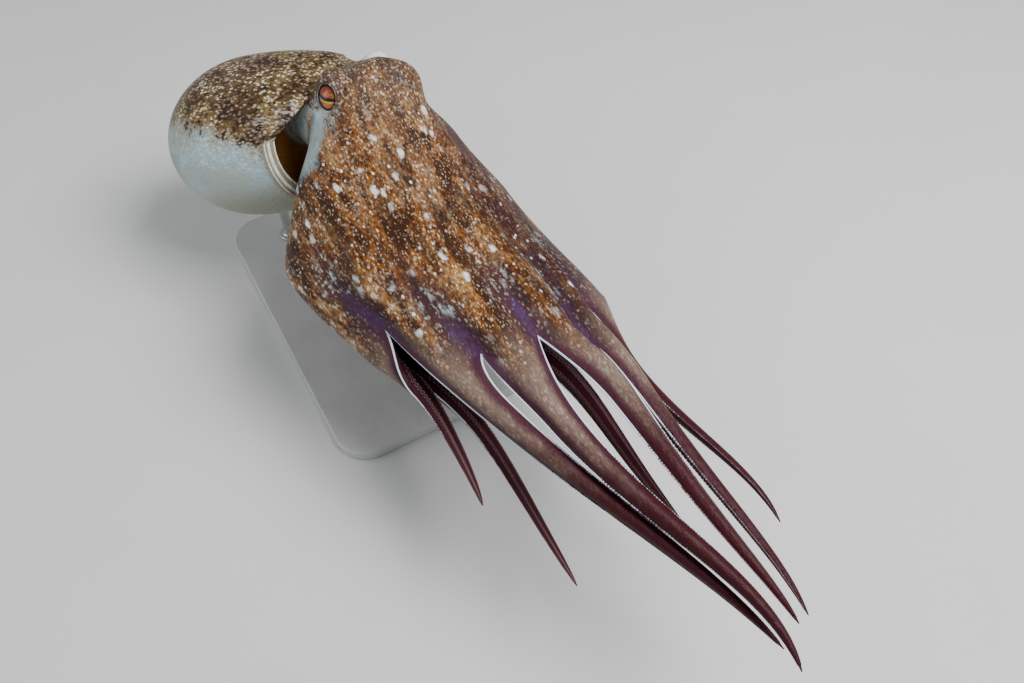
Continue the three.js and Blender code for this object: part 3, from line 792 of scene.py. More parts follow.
def add_suckers(shell, i, largest):
    """Two rows of suckers on an arm's oral face, from beside the mouth out to its tip."""
    form = shell.form
    edge = float(form.web_edge(i + 0.5))
    inner = (edge - SUCKERS_FROM) * CROWN_PER_STATION
    length = form.arm_length(i)
    for row in (-1, 1):
        at, radius = sucker_places(row, largest, inner, length)
        on_web, on_arm = at <= 0, at > 0
        station = edge + (at[on_web, None] + (0, SUCKER_STEP)) / CROWN_PER_STATION
        place = i + 0.5 + row * SUCKER_ROW / 2
        web = [form.lining(place + turn / 2, station) for turn in (-SUCKER_HALF, SUCKER_HALF)]
        s = np.minimum((at[on_arm, None] + (0, SUCKER_STEP)) / length, 1)
        place = row * SUCKER_ROW * (1 + rise(0, FREE_BLEND, s))
        arm = [form.arm_skin(i, place + turn, False, s) for turn in (-SUCKER_HALF, SUCKER_HALF)]
        body = np.concatenate([form.skin(i + 0.5, station[:, 0]), form.arm_frame(i, s[:, 0])[0]])
        share = np.concatenate([at[on_web] / inner, s[:, 0]])
        (start, ahead), (over, _) = [np.concatenate(pair).swapaxes(0, 1) for pair in zip(web, arm)]
        marks = {"reach": 1 + share, "dark": ARMS[i].dark, "above": -at}
        seat_suckers(shell, (start + over) / 2, ahead - start, over - start, body, radius, marks)


def seat_suckers(shell, middle, along, side, body, radius, marks):
    """Sets a sucker on each middle, facing away from the body under it."""
    along = unit(along)
    out = unit(np.cross(along, unit(side)))
    out = out * np.sign(dot(out, middle - body))
    turn = round_turn(SUCKER_SIDES)
    wide, high, pale = np.array(SUCKER_PROFILE).T[:, None, :, None]
    ahead, across, up = [axis[:, None, None, :] for axis in (along, np.cross(out, along), out)]
    step = (wide * np.cos(turn))[..., None] * ahead + (wide * np.sin(turn))[..., None] * across
    rings = middle[:, None, None, :] + radius[:, None, None, None] * (step + high[..., None] * up)
    marks = {name: np.broadcast_to(value, radius.shape)[:, None] for name, value in marks.items()}
    ringed = {name: value[:, None] for name, value in marks.items()}
    each = np.arange(len(radius))[:, None, None]
    quads = grid_faces(len(SUCKER_PROFILE), SUCKER_SIDES, closed=True)
    quads = (quads + each * rings[0, ..., 0].size).reshape(-1, 4)
    shell.add(rings, quads, slot=1, oral=1, cup=pale, **ringed)
    pit = rings[:, -1].mean(1) - out * SUCKER_PIT * radius[:, None]
    floor = np.concatenate([rings[:, -1], pit[:, None]], 1)
    fans = (fan_faces(SUCKER_SIDES) + each * (SUCKER_SIDES + 1)).reshape(-1, 3)
    shell.add(floor, fans, slot=1, oral=1, **marks)


def tube(path, radius, sides):
    """Rings round a path, carried along it without twisting."""
    along = unit(np.gradient(path, axis=0))
    across = np.empty_like(path)
    across[0] = unit(np.cross(along[0], [0.3, 0.5, 0.8]))
    for i in range(1, len(path)):
        across[i] = unit(across[i - 1] - along[i] * np.dot(across[i - 1], along[i]))
    turn = round_turn(sides)[None, :, None]
    step = np.cos(turn) * across[:, None] + np.sin(turn) * np.cross(along, across)[:, None]
    return path[:, None] + radius[:, None, None] * step


def add_margin(shell, i, thick):
    """The thin bright margin that runs up one arm, round the notch of the web and down the next arm."""
    form = shell.form
    s = np.linspace(0, TIP_SHARE, MARGIN_ROWS)
    halves = []
    for arm, edge in (((i - 1) % SECTORS, 1.0), (i, -1.0)):
        across = np.full(s.shape, edge)
        seam = (form.arm_skin(arm, across, True, s) + form.arm_skin(arm, across, False, s)) / 2
        seam = seam + form.arm_side(arm, s) * edge
        held = [s, s * form.arm_length(arm), np.full(s.shape, ARMS[arm].dark)]
        halves.append(np.column_stack([seam, *held]))
    both = np.concatenate([halves[0][:0:-1], halves[1]])
    share, below, dark = both[:, 3:].T
    rings = tube(both[:, :3], thick * (1 - MARGIN_FALL * share**MARGIN_FALL_POWER), MARGIN_SIDES)
    marks = {"reach": 1 + share[:, None], "above": -below[:, None], "dark": dark[:, None]}
    shell.add(rings, grid_faces(len(both), MARGIN_SIDES, closed=True), slot=2, oral=0.5, across=1, **marks)


def add_funnel(shell):
    """The funnel under the neck: a soft tube with a rolled mouth."""
    aim = heading(0, FUNNEL_PITCH)
    up = unit(np.cross(aim, [0, 1, 0]))
    turn = round_turn(FUNNEL_SIDES)[None, :]
    w = np.linspace(0, 1, FUNNEL_ROWS)
    outside = through(FUNNEL_RADIUS, w)
    roll = np.linspace(0, np.pi, 7)[1:-1]
    half = FUNNEL_WALL / 2
    lip = outside[-1] - half + np.cos(roll) * half
    inside = outside[::-1][:FUNNEL_DEPTH] - FUNNEL_WALL
    radius = np.concatenate([outside, lip, inside])[:, None]
    back = w[::-1][:FUNNEL_DEPTH] * FUNNEL_LENGTH
    far = np.concatenate([w * FUNNEL_LENGTH, FUNNEL_LENGTH + np.sin(roll) * half, back])[:, None]
    fold = FUNNEL_FOLD_HEIGHT * np.sin(FUNNEL_FOLDS * turn) * rise(0.1, 0.9, far / FUNNEL_LENGTH)
    wide = radius * (1 + fold)
    p = np.array(FUNNEL_ROOT) + aim * far[..., None]
    p = p + up * (np.cos(turn) * wide)[..., None]
    p = p - np.array([0, 1, 0]) * (np.sin(turn) * wide)[..., None]
    faces = grid_faces(len(radius), FUNNEL_SIDES, closed=True)
    shell.add(p, faces, rim=CLOSED, reach=-1, above=NO_NOTCH)


# --- shader maths ---
class Socket:
    """An output socket that can stand in sums: each sum adds its Math nodes."""

    def __init__(self, finish, socket):
        self.finish = finish
        self.socket = socket

    def maths(self, operation, *values):
        """One Math node on numbers and sockets."""
        return self.finish.node("ShaderNodeMath", {"operation": operation}, dict(enumerate(values)))

    def __add__(self, other):
        return self.maths("ADD", self, other)

    def __radd__(self, other):
        return self.maths("ADD", other, self)

    def __sub__(self, other):
        return self.maths("SUBTRACT", self, other)

    def __rsub__(self, other):
        return self.maths("SUBTRACT", other, self)

    def __mul__(self, other):
        return self.maths("MULTIPLY", self, other)

    def __rmul__(self, other):
        return self.maths("MULTIPLY", other, self)

    def __pow__(self, other):
        return self.maths("POWER", self, other)

    def __abs__(self):
        return self.maths("ABSOLUTE", self)

    def most(self, other):
        """The greater of two values."""
        return self.maths("MAXIMUM", self, other)

    def sine(self):
        return self.maths("SINE", self)

    def turn_from(self, other):
        """The angle of a point that lies this far up and the other far along."""
        return self.maths("ARCTAN2", self, other)

    def ragged(self, mottle, by):
        """The value moved up and down by a mottle, so that its edges break up."""
        return self + (mottle - 0.5) * by

    def rise(self, low, high):
        """Smooth rise from 0 at low to 1 at high, which may lie the other way round."""
        if low > high:
            return 1 - self.rise(high, low)
        settings = {"interpolation_type": "SMOOTHSTEP"}
        return self.finish.node("ShaderNodeMapRange", settings, {0: self, 1: low, 2: high})


class Finish:
    """A material and the nodes that make it."""

    def __init__(self, name):
        self.material = bpy.data.materials.new(name)
        self.material.use_nodes = True
        self.tree = self.material.node_tree
        self.tree.nodes.clear()
        self.shader = self.tree.nodes.new("ShaderNodeBsdfPrincipled")
        output = self.tree.nodes.new("ShaderNodeOutputMaterial")
        self.tree.links.new(self.shader.outputs[0], output.inputs[0])

    def node(self, kind, settings=None, inputs=None, output=0):
        """Adds a node: its settings first, then numbers or links on its sockets."""
        node = self.tree.nodes.new(kind)
        for name, value in (settings or {}).items():
            setattr(node, name, value)
        for key, value in (inputs or {}).items():
            if isinstance(value, Socket):
                self.tree.links.new(value.socket, node.inputs[key])
            else:
                node.inputs[key].default_value = value
        return Socket(self, node.outputs[output])

    def mark(self, name):
        """A number kept on each point of the mesh."""
        return self.node("ShaderNodeAttribute", {"attribute_name": name}, output="Fac")

    def way(self, name):
        """A vector kept on each point of the mesh."""
        return self.node("ShaderNodeAttribute", {"attribute_name": name}, output="Vector")

    def place(self):
        """Object coordinates in millimetres."""
        where = self.node("ShaderNodeTexCoord", output="Object")
        return self.stretch(where, (1000, 1000, 1000))

    def part(self, vector, which):
        """One number of a vector: 0, 1 or 2."""
        return self.node("ShaderNodeSeparateXYZ", {}, {0: vector}, which)

    def stretch(self, vector, by):
        """A vector multiplied, number by number."""
        return self.node("ShaderNodeVectorMath", {"operation": "MULTIPLY"}, {0: vector, 1: by})

    def shift(self, vector, by):
        """The sum of two vectors."""
        return self.node("ShaderNodeVectorMath", {"operation": "ADD"}, {0: vector, 1: by})

    def noise(self, vector, size, detail=3, rough=0.55, output="Fac"):
        """Smooth noise with features of about a size in the vector's units."""
        inputs = {"Vector": vector, "Scale": 1 / size, "Detail": detail, "Roughness": rough}
        return self.node("ShaderNodeTexNoise", {}, inputs, output)

    def drift(self, vector, size, by):
        """The vector moved about by coloured noise, so that cells lose their straight sides."""
        colour = self.noise(vector, size, 2, 0.5, "Color")
        centred = self.shift(colour, (-0.5, -0.5, -0.5))
        return self.shift(vector, self.stretch(centred, (by, by, by)))

    def cells(self, vector, size, start=(0, 0, 0)):
        """Distance from the nearest of scattered middles, in cell sizes, and a number for each cell."""
        inputs = {"Vector": self.shift(vector, start), "Scale": 1 / size}
        distance = self.node("ShaderNodeTexVoronoi", {}, inputs, "Distance")
        colour = Socket(self, distance.socket.node.outputs["Color"])
        return distance, self.node("ShaderNodeSeparateColor", {}, {0: colour})

    def mix(self, first, second, share):
        """Two colours, or links that carry colours, mixed by a share."""
        inputs = {0: share, 6: self.colour(first), 7: self.colour(second)}
        return self.node("ShaderNodeMix", {"data_type": "RGBA"}, inputs, 2)

    def over(self, base, *layers):
        """A colour under layers of others, each given with the share that it covers."""
        for colour, share in layers:
            base = self.mix(base, colour, share)
        return base

    def tint(self, colour, by):
        """A colour multiplied by a number, through a mix with black."""
        return self.mix((0, 0, 0), colour, by)

    @staticmethod
    def colour(value):
        """A link as it is, and a plain colour with its fourth number."""
        return value if isinstance(value, Socket) else (*tuple(value)[:3], 1.0)

    def bump(self, height, distance, strength, before=None):
        """A surface raised by a height, over one raised before."""
        inputs = {"Strength": strength, "Distance": distance, "Height": height}
        if before is not None:
            inputs["Normal"] = before
        return self.node("ShaderNodeBump", {}, inputs, "Normal")

    def set(self, **values):
        """Numbers or links on the shader's own sockets, named with underscores for spaces."""
        for name, value in values.items():
            socket = self.shader.inputs[name.replace("_", " ")]
            if isinstance(value, Socket):
                self.tree.links.new(value.socket, socket)
            else:
                socket.default_value = value
        return self.material


# --- finishes ---
def skin_marks(f):
    """What all parts of the skin share: its marks, its ways, its mottles and its fine speckle."""
    names = ("reach", "across", "oral", "rim", "lid", "above", "cheek", "nape", "far_eye")
    m = SimpleNamespace(**{name: f.mark(name) for name in names})
    m.dark = f.mark("dark") * m.reach.rise(1.0, 1.3)
    m.closed = m.rim.rise(10, 50)
    m.grain, m.hood = f.way("along_arms"), f.way("along_mantle")
    m.length = f.stretch(m.grain, (0.5, 1, 1))
    m.streak = f.stretch(m.grain, (0.13, 1, 1))
    m.broad = f.noise(f.shift(m.length, (40.0, 0.0, 7.0)), 22)
    m.middle = f.noise(m.length, 10, 4, 0.6)
    m.fine = f.noise(m.length, 2.2, 4, 0.65)
    m.cloud = f.noise(m.hood, 20, 4, 0.6)
    m.bands = f.noise(m.streak, 7.5, 3, 0.6)
    m.tone = m.bands * 0.55 + m.broad * 0.3 + m.middle * 0.15
    # pale specks and finer grit, on a dark mosaic
    drifted = f.drift(m.length, 4.0, 3.2)
    near, pick = f.cells(drifted, 2.2)
    m.specks = near.rise(0.48, 0.2) * pick.rise(0.25, 0.9)
    small, other = f.cells(drifted, 1.5, (31.0, 7.0, 13.0))
    m.grit = small.rise(0.5, 0.25) * other.rise(0.4, 0.9)
    gaps, _ = f.cells(f.drift(m.length, 3.0, 1.5), 2.1, (5.0, 41.0, 3.0))
    m.mosaic = gaps.rise(0.4, 0.75)
    return m


def crown_colour(f, c, m):
    """The crown: dark bands and golden ridges (partly a painted highlight) on rust, under specks, large white
    spots and dark blots, and painted shade to its left.
    """
    spot, which = f.cells(f.drift(f.stretch(m.grain, (0.55, 1, 1)), 4.5, 6.0), 10.0, (3.0, 9.0, 60.0))
    spots = spot.ragged(m.fine, 0.4).rise(0.34, 0.1) * which.rise(0.45, 0.7)
    dot, some = f.cells(f.drift(f.stretch(m.grain, (0.7, 1, 1)), 3.0, 1.5), 5.5, (8.0, 2.0, 40.0))
    spots = spots.most(dot.ragged(m.fine, 0.2).rise(0.24, 0.12) * some.rise(0.6, 0.65))
    blot, few = f.cells(f.drift(m.length, 7.0, 9.0), 22.0, (70.0, 9.0, 6.0))
    blots = blot.ragged(m.fine, 0.3).rise(0.36, 0.04) * few.rise(0.3, 0.4)
    pale = (m.broad * 0.6 + m.middle * 0.4).rise(0.48, 0.62)
    streaks = f.noise(f.stretch(m.grain, (0.07, 1, 1)), 9, 2, 0.5)
    return f.over(
        c.bark,
        (c.rust, m.tone.ragged(m.fine, 0.16).rise(0.42, 0.52)),
        # Gold on the ridges: partly their own colour, partly a painted highlight on the raised ridges.
        (c.gold_and_highlight, m.tone.rise(0.5, 0.62) * (1.1 - m.across).rise(0.1, 0.9) * 0.85),
        (c.bark, m.mosaic * (0.55 + 0.4 * m.tone.rise(0.58, 0.44))),
        (c.bark, m.fine.rise(0.46, 0.34) * 0.8),
        (c.cream, pale * (0.04 + m.fine.rise(0.47, 0.64) * 0.3)),
        (c.cream, m.specks * (0.12 + 0.8 * m.tone.rise(0.44, 0.58))),
        (c.bark, streaks.rise(0.5, 0.36) * m.reach.rise(0.12, 0.4) * 0.75),
        (c.cream, m.grit * 0.5 * m.broad.rise(0.7, 0.4)),
        (c.ink, blots * 0.9),
        # Painted shade: the crown is darkened with umber towards its left side.
        (c.umber_and_shade, f.part(m.grain, 1).rise(40, 66) * 0.6),
        (c.white, spots * (0.2 + 0.75 * m.broad.rise(0.4, 0.56))),
    )


def web_colour(f, c, m, crown):
    """The web above its notches: painted shade in the valleys between the arms, violet by the margin, pale
    patches higher up.
    """
    edge = f.noise(f.stretch(m.grain, (0.2, 1, 1)), 6)
    between = m.across.ragged(edge, 0.5)
    # Painted shade: the web between two arms, near the notches, is darkened with umber as shade between the
    # ridges.
    valley_shade = m.across.ragged(edge, 0.7).rise(0.2, 0.7) * m.above.ragged(edge, 70).rise(130, 50)
    violet = between.rise(0.56, 0.94) * m.above.ragged(edge, 36).rise(58, 24)
    patch = between.rise(0.45, 0.85) * m.above.rise(100, 70) * m.above.rise(40, 62)
    return f.over(
        crown,
        (f.mix(c.umber_and_shade, c.cream, m.specks * 0.35), valley_shade * 0.9),
        (f.mix(c.violet, c.umber_and_shade, (m.middle + m.fine * 0.4).rise(0.62, 0.85) * 0.7), violet * 0.85),
        (c.teal, patch * (edge * 0.8 + m.fine * 0.5).rise(0.66, 0.84) * 0.9),
    )


def arm_colour(f, c, m):
    """The free arms from outside: a pale ridge that fades, purple flanks, all maroon at the tips."""
    far = (m.reach + m.dark * 0.7).ragged(m.middle, 0.3).rise(1.2, 1.68)
    arm = f.over(
        c.flesh,
        (c.cream, m.fine.rise(0.5, 0.75) * 0.28 + m.specks * 0.25),
        (c.umber_and_shade, m.bands.rise(0.5, 0.75) * 0.5),
        (c.plum, m.across.ragged(m.middle, 0.4).rise(0.3, 0.85)),
        (c.maroon, far * 0.97),
    )
    return f.tint(arm, 0.75 + m.fine * 0.4)


def mantle_colour(f, c, m):
    """The mantle: a brown cap with pale dashes, a net of brown over its edge, pearl below with a painted blue
    sheen, white lips.
    """
    lengthwise, upward, sideward = f.part(m.hood, 0), f.part(m.hood, 2), abs(f.part(m.hood, 1))
    lateral = sideward * CAP_SIDE - upward * CAP_UP
    edge = lateral - (lengthwise + 100) * CAP_SLANT
    net = f.noise(m.hood, 5.0, 3, 0.6)
    dash, one = f.cells(f.drift(f.stretch(m.hood, (0.5, 1, 1)), 3.5, 2.4), 2.1)
    dashes = dash.rise(0.55, 0.25) * one.rise(0.1, 0.6)
    stain, seldom = f.cells(f.drift(m.hood, 7.0, 8.0), 24.0, (20.0, 9.0, 6.0))
    stains = stain.ragged(net, 0.4).rise(0.32, 0.04) * seldom.rise(0.3, 0.4)
    cap = f.over(
        c.bark,
        (c.olive, (m.cloud + net * 0.5).rise(0.6, 0.85)),
        (c.dusk, upward.ragged(m.cloud, 30).rise(54, 72) * 0.75),
        (c.ink, net.rise(0.48, 0.6) * 0.75),
        (c.ink, stains * 0.9),
        (c.cream, dashes * (0.3 + 0.7 * m.cloud.rise(0.38, 0.58))),
    )
    pearl = f.over(
        c.pearl,
        # Painted sheen: bluish patches over the pearly underside.
        (c.blue_skin_and_sheen, f.noise(m.hood, 22).rise(0.44, 0.6) * lateral.rise(66, 40)),
        (c.white, dashes * 0.5 * lateral.rise(60, 30) * m.cloud.rise(0.42, 0.58)),
        (c.sand, lateral.rise(50, 68) * 0.6),
    )
    first, second, third = [m.rim.rise(a, b) * m.rim.rise(d, e) for a, b, d, e in LIP_WHITES]
    ribs = first.most(second).most(third)
    lips = f.mix(c.sand, c.white, ribs * (0.65 + 0.35 * net.rise(0.35, 0.6)))
    return f.over(
        cap,
        (pearl, edge.ragged(m.cloud, 26).ragged(net, 34).rise(0, 13)),
        (c.olive, net.rise(0.5, 0.6) * edge.rise(-8, 4) * edge.rise(26, 8) * 0.6),
        (c.sand, m.reach.ragged(m.cloud, 0.4).rise(-1.6, -1.9) * 0.65),
        (lips, m.rim.rise(6, 1) * 0.9),
        (c.amber, m.rim.rise(-11.2, -13)),
    )


def head_colour(f, c, m, outer):
    """The head over the crown's colour: smoky by the eyes, a pale cheek and neck, light rings on the lids."""
    smoky = f.over(
        c.dusk,
        (c.ink, m.mosaic * m.fine.rise(0.6, 0.4) * 0.8),
        (c.cream, m.specks.most(m.grit * 0.7) * 0.7),
    )
    flecks = m.mosaic * m.fine.rise(0.4, 0.6) * (0.2 + 0.8 * m.cheek.rise(6, 14)) * m.closed
    wall = f.mix(f.mix(c.blue_skin_and_sheen, c.pearl, m.middle.rise(0.4, 0.6)), c.bark, flecks)
    below = m.cheek.ragged(m.middle, 22).ragged(m.fine, 22).rise(22, 3)
    beside = m.reach.ragged(m.middle, 0.16).rise(0.25, 0.1) * (1 - m.closed)
    return f.over(
        outer,
        (smoky, m.reach.ragged(m.middle, 0.4).rise(0.32, 0.04) * m.closed * 0.75),
        (smoky, m.lid.ragged(m.middle, 0.6).rise(2.3, 1.4) * 0.85),
        (wall, below.most(beside) * 0.9),
        (c.lid, m.lid.rise(1.34, 1.22) * m.lid.rise(1.04, 1.1) * m.cheek.rise(32, 14)),
        (c.ink, m.lid.rise(1.1, 1.02)),
    )


def skin_finish(c):
    """The octopus's skin: mottled mantle, pearly below, speckled rusty crown, dark free arms."""
    f = Finish("octopus_skin")
    m = skin_marks(f)
    free = m.reach.ragged(m.middle, 0.12).rise(0.86, 1.12)
    outer = f.mix(web_colour(f, c, m, crown_colour(f, c, m)), arm_colour(f, c, m), free)
    under = f.over(c.maroon, (c.plum, m.fine * 0.6), (c.flesh, m.reach.rise(0.75, 0.35) * 0.5))
    seam = m.reach.ragged(m.middle, 0.5).rise(0.0, -0.4) * m.closed
    seam = seam.most(m.reach.rise(-0.98, -1.0)).most(m.reach.rise(-0.2, -0.3) * (1 - m.closed))
    lines = f.noise(f.stretch(m.hood, (0.12, 1, 0.5)), 1.6, 2).rise(0.48, 0.6)
    nape = m.nape.ragged(m.cloud, 12).rise(10, 1) * lines * m.rim.rise(-4, 0)
    hood_top = m.far_eye.ragged(m.fine, 1).rise(15.4, 14.4) * f.part(m.grain, 2).rise(56, 61)
    colour = f.over(
        head_colour(f, c, m, outer),
        (mantle_colour(f, c, m), seam),
        (c.white, nape * 0.35),
        (c.white, hood_top * 0.9),
        (under, m.oral),
    )
    height = m.specks * 0.5 + m.grit * 0.25 - m.mosaic * 0.4 + m.fine * 0.5
    soft = f.noise(m.streak, 4) * (1 - free * 0.8)
    normal = f.bump(soft, 0.0011, 0.5, f.bump(height, 0.0006, 0.6))
    return f.set(Base_Color=colour, Roughness=0.36 + m.fine * 0.22, Normal=normal, Specular_IOR_Level=0.14)


def sucker_finish(c):
    """Suckers: dull pink rims over a dark floor."""
    f = Finish("sucker_skin")
    cup, dark = f.mark("cup"), f.mark("dark")
    fine = f.noise(f.place(), 0.8)
    rim = f.over(c.blush, (c.cream, cup.rise(0.75, 1.0) * 0.3), (c.plum, dark * 0.5))
    colour = f.mix(c.maroon, rim, (cup + fine * 0.25).rise(0.35, 0.9))
    return f.set(Base_Color=colour, Roughness=0.32 + fine * 0.1, Normal=f.bump(fine, 0.0002, 0.5))


def margin_finish(c):
    """The margin of web and arms: bright and whole by the notch, then beads, then lost in the dark."""
    f = Finish("margin_skin")
    above, reach, dark = f.mark("above"), f.mark("reach"), f.mark("dark")
    fine, patchy = f.noise(f.place(), 1.4), f.noise(f.place(), 6.0, 2)
    beads = (above * (2 * np.pi / BEAD_PITCH)).sine() * 0.3 + 0.5
    lit = beads.ragged(fine, 1.6).ragged(patchy, 2.4) + reach.rise(1.5, 1.15) * 1.6
    lit = lit.rise(0.5, 0.85) * (1 - reach.rise(1.2, 1.75) * 0.88) * (1 - dark * 0.25)
    bright = f.mix(c.blue_white, c.blue_skin_and_sheen, fine.rise(0.5, 0.8) * 0.4)
    colour = f.mix(c.plum, bright, lit)
    return f.set(Base_Color=colour, Roughness=0.3 + fine * 0.15, Normal=f.bump(fine, 0.0003, 0.4))


def eye_finish(c):
    """Eyeball: burning orange iris with streaks, a dark level slit and a thin bright line under it."""
    f = Finish("eye_gloss")
    place = f.way("iris")
    x, y = f.part(place, 0), f.part(place, 1)
    radius = (x * x + y * y) ** 0.5
    spokes = f.node("ShaderNodeCombineXYZ", {}, {0: y.turn_from(x) * 7.0, 1: radius * 2.2, 2: 0.0})
    streaks = f.noise(spokes, 1.0, 5, 0.65)
    spread = f.noise(f.stretch(place, (2.2, 2.2, 2.2)), 1.0)
    slit = y - x * x * 0.16 + 0.02
    line = slit.rise(-0.27, -0.2) * slit.rise(-0.1, -0.15) * abs(x).rise(0.85, 0.5)
    pupil = (abs(slit) + (abs(x) ** 3) * 0.16).rise(0.17, 0.12)
    colour = f.over(
        c.iris,
        (c.iris_dark, (streaks + spread * 0.5 + y * 0.25).rise(0.55, 0.95)),
        (c.iris_light, streaks.rise(0.5, 0.3) * (0.2 - y * 0.9).rise(0.0, 0.8) * 0.8),
        (c.iris_light, line),
        (c.ink, pupil),
        (c.ink, radius.rise(0.69, 0.79)),
    )
    return f.set(Base_Color=colour, Roughness=0.16 + streaks * 0.1, Coat_Weight=0.5, Coat_Roughness=0.03)


def stand_finish(c):
    """The base: satin paint with a fine orange-peel and a trace of handling."""
    f = Finish("stand_paint")
    place = f.place()
    peel, worn = f.noise(place, 0.9, 2), f.noise(place, 40, 5, 0.6)
    colour = f.mix(c.paint, c.paint_dull, worn.rise(0.4, 0.7) * 0.6 + peel * 0.15)
    return f.set(Base_Color=colour, Roughness=0.38 + worn * 0.2, Normal=f.bump(peel, 0.0001, 0.35))


def rod_finish(c):
    """The rods: steel brushed round, with faint streaks."""
    f = Finish("stand_steel")
    brush = f.noise(f.stretch(f.place(), (0.4, 0.4, 9)), 1.0, 4, 0.6)
    colour = f.mix(c.steel, c.steel_dark, brush.rise(0.35, 0.7) * 0.5)
    normal = f.bump(brush, 0.00005, 0.3)
    return f.set(Base_Color=colour, Roughness=0.24 + brush * 0.2, Metallic=1.0, Normal=normal)


def floor_finish(c):
    """A plain pale floor with the faintest mottle."""
    f = Finish("floor_matte")
    mottle = f.noise(f.place(), 220, 4, 0.6)
    return f.set(Base_Color=f.mix(c.floor, c.floor_dull, mottle.rise(0.35, 0.7) * 0.5), Roughness=0.9)


# --- settings a user may change ---
def length_setting(name, description, default):
    return bpy.props.FloatProperty(name=name, description=description, default=default, unit="LENGTH")


def angle_setting(name, description, default):
    return bpy.props.FloatProperty(name=name, description=description, default=default, subtype="ANGLE")


def colour_setting(name, description, default):
    return bpy.props.FloatVectorProperty(
        name=name, description=description, default=default, subtype="COLOR", min=0.0, max=1.0, size=3
    )


class OctopusShape(bpy.types.PropertyGroup):
    """Sizes of the animal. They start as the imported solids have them."""

    mantle_length: length_setting("Mantle length", "From the neck to the mantle's end", 0.178)
    mantle_width: length_setting("Mantle width", "Across the widest part of the mantle", 0.142)
    mantle_height: length_setting("Mantle height", "From its back to its underside", 0.134)
    mantle_turn: angle_setting("Mantle turn", "How far the body bends to its right", 0.7854)
    mantle_droop: angle_setting("Mantle droop", "How far the mantle hangs below level", 0.4189)
    eye_rise: length_setting("Eye rise", "How far each eye stands up from the head", 0.021)
    eye_diameter: length_setting("Eye diameter", "Diameter of each eyeball", 0.024)
    arm_thickness: length_setting("Arm thickness", "Thickness of an arm where it leaves the mouth", 0.015)
    web_thickness: length_setting("Web thickness", "Thickness of the web between two arms", 0.0026)
    sucker_radius: length_setting("Largest sucker", "Radius of the largest suckers", 0.0031)
    margin_thickness: length_setting("Margin", "Radius of the bright margin at a notch", 0.0012)


class OctopusColours(bpy.types.PropertyGroup):
    """Colours of the skin, the eyes and the stand."""

    rust: colour_setting("Rust", "Ground colour of head and crown", (0.205, 0.068, 0.011))
    # Gold is partly the ridges' own colour and partly a painted highlight on them.
    gold_and_highlight: colour_setting("Gold", "Ridges of the crown", (0.40, 0.185, 0.030))
    bark: colour_setting("Bark", "Dark mosaic between the specks", (0.040, 0.014, 0.006))
    olive: colour_setting("Olive", "Lighter parts of the mantle's back", (0.25, 0.165, 0.055))
    cream: colour_setting("Cream", "Fine specks and dashes", (0.80, 0.66, 0.46))
    white: colour_setting("White", "Large spots and the mantle's lips", (0.92, 0.92, 0.88))
    teal: colour_setting("Teal white", "Pale patches above the notches", (0.50, 0.66, 0.66))
    pearl: colour_setting("Pearl", "Underside of the mantle", (0.40, 0.46, 0.42))
    # Blue sheen is painted on the mantle's pearly underside; on the cheek and in the margins it is pale blue
    # skin.
    blue_skin_and_sheen: colour_setting("Blue sheen", "Bluish patches of the pearly skin", (0.38, 0.53, 0.58))
    sand: colour_setting("Sand", "Thin skin at the mantle's end and below", (0.27, 0.25, 0.17))
    amber: colour_setting("Amber", "Inside of the mantle's opening", (0.235, 0.092, 0.018))
    dusk: colour_setting("Dusk", "Skin round the eyes", (0.110, 0.068, 0.052))
    lid: colour_setting("Lid", "Pale edge of the eyelids", (0.46, 0.46, 0.48))
    violet: colour_setting("Violet", "Web above the notches", (0.068, 0.030, 0.105))
    flesh: colour_setting("Flesh", "Ridges of the free arms", (0.205, 0.138, 0.108))
    # Umber is also painted shade: in the web's valleys near the notches and on the crown's left side.
    umber_and_shade: colour_setting("Umber", "Dark skin between the arms", (0.040, 0.016, 0.022))
    plum: colour_setting("Plum", "Flanks of the free arms", (0.066, 0.019, 0.030))
    maroon: colour_setting("Maroon", "Tips and oral faces of the arms", (0.044, 0.0045, 0.009))
    blush: colour_setting("Blush", "Suckers", (0.13, 0.045, 0.052))
    blue_white: colour_setting("Blue white", "Bright margin of web and arms", (0.80, 0.90, 1.0))
    ink: colour_setting("Ink", "Pupils, blotches and lid edges", (0.012, 0.008, 0.008))
    iris: colour_setting("Iris", "Body of the iris", (0.66, 0.15, 0.008))
    iris_dark: colour_setting("Iris, dark", "Streaks of the iris", (0.16, 0.022, 0.003))
    iris_light: colour_setting("Iris, light", "Thin line under the pupil", (0.92, 0.50, 0.06))
    paint: colour_setting("Paint", "Paint of the base", (0.60, 0.60, 0.58))
    paint_dull: colour_setting("Paint, dull", "Handled paint of the base", (0.50, 0.50, 0.48))
    steel: colour_setting("Steel", "Rods of the stand", (0.62, 0.63, 0.64))
    steel_dark: colour_setting("Steel, dark", "Brush marks on the rods", (0.38, 0.39, 0.40))
    floor: colour_setting("Floor", "The plain floor", (0.74, 0.74, 0.72))
    floor_dull: colour_setting("Floor, dull", "Faint mottle of the floor", (0.70, 0.70, 0.68))


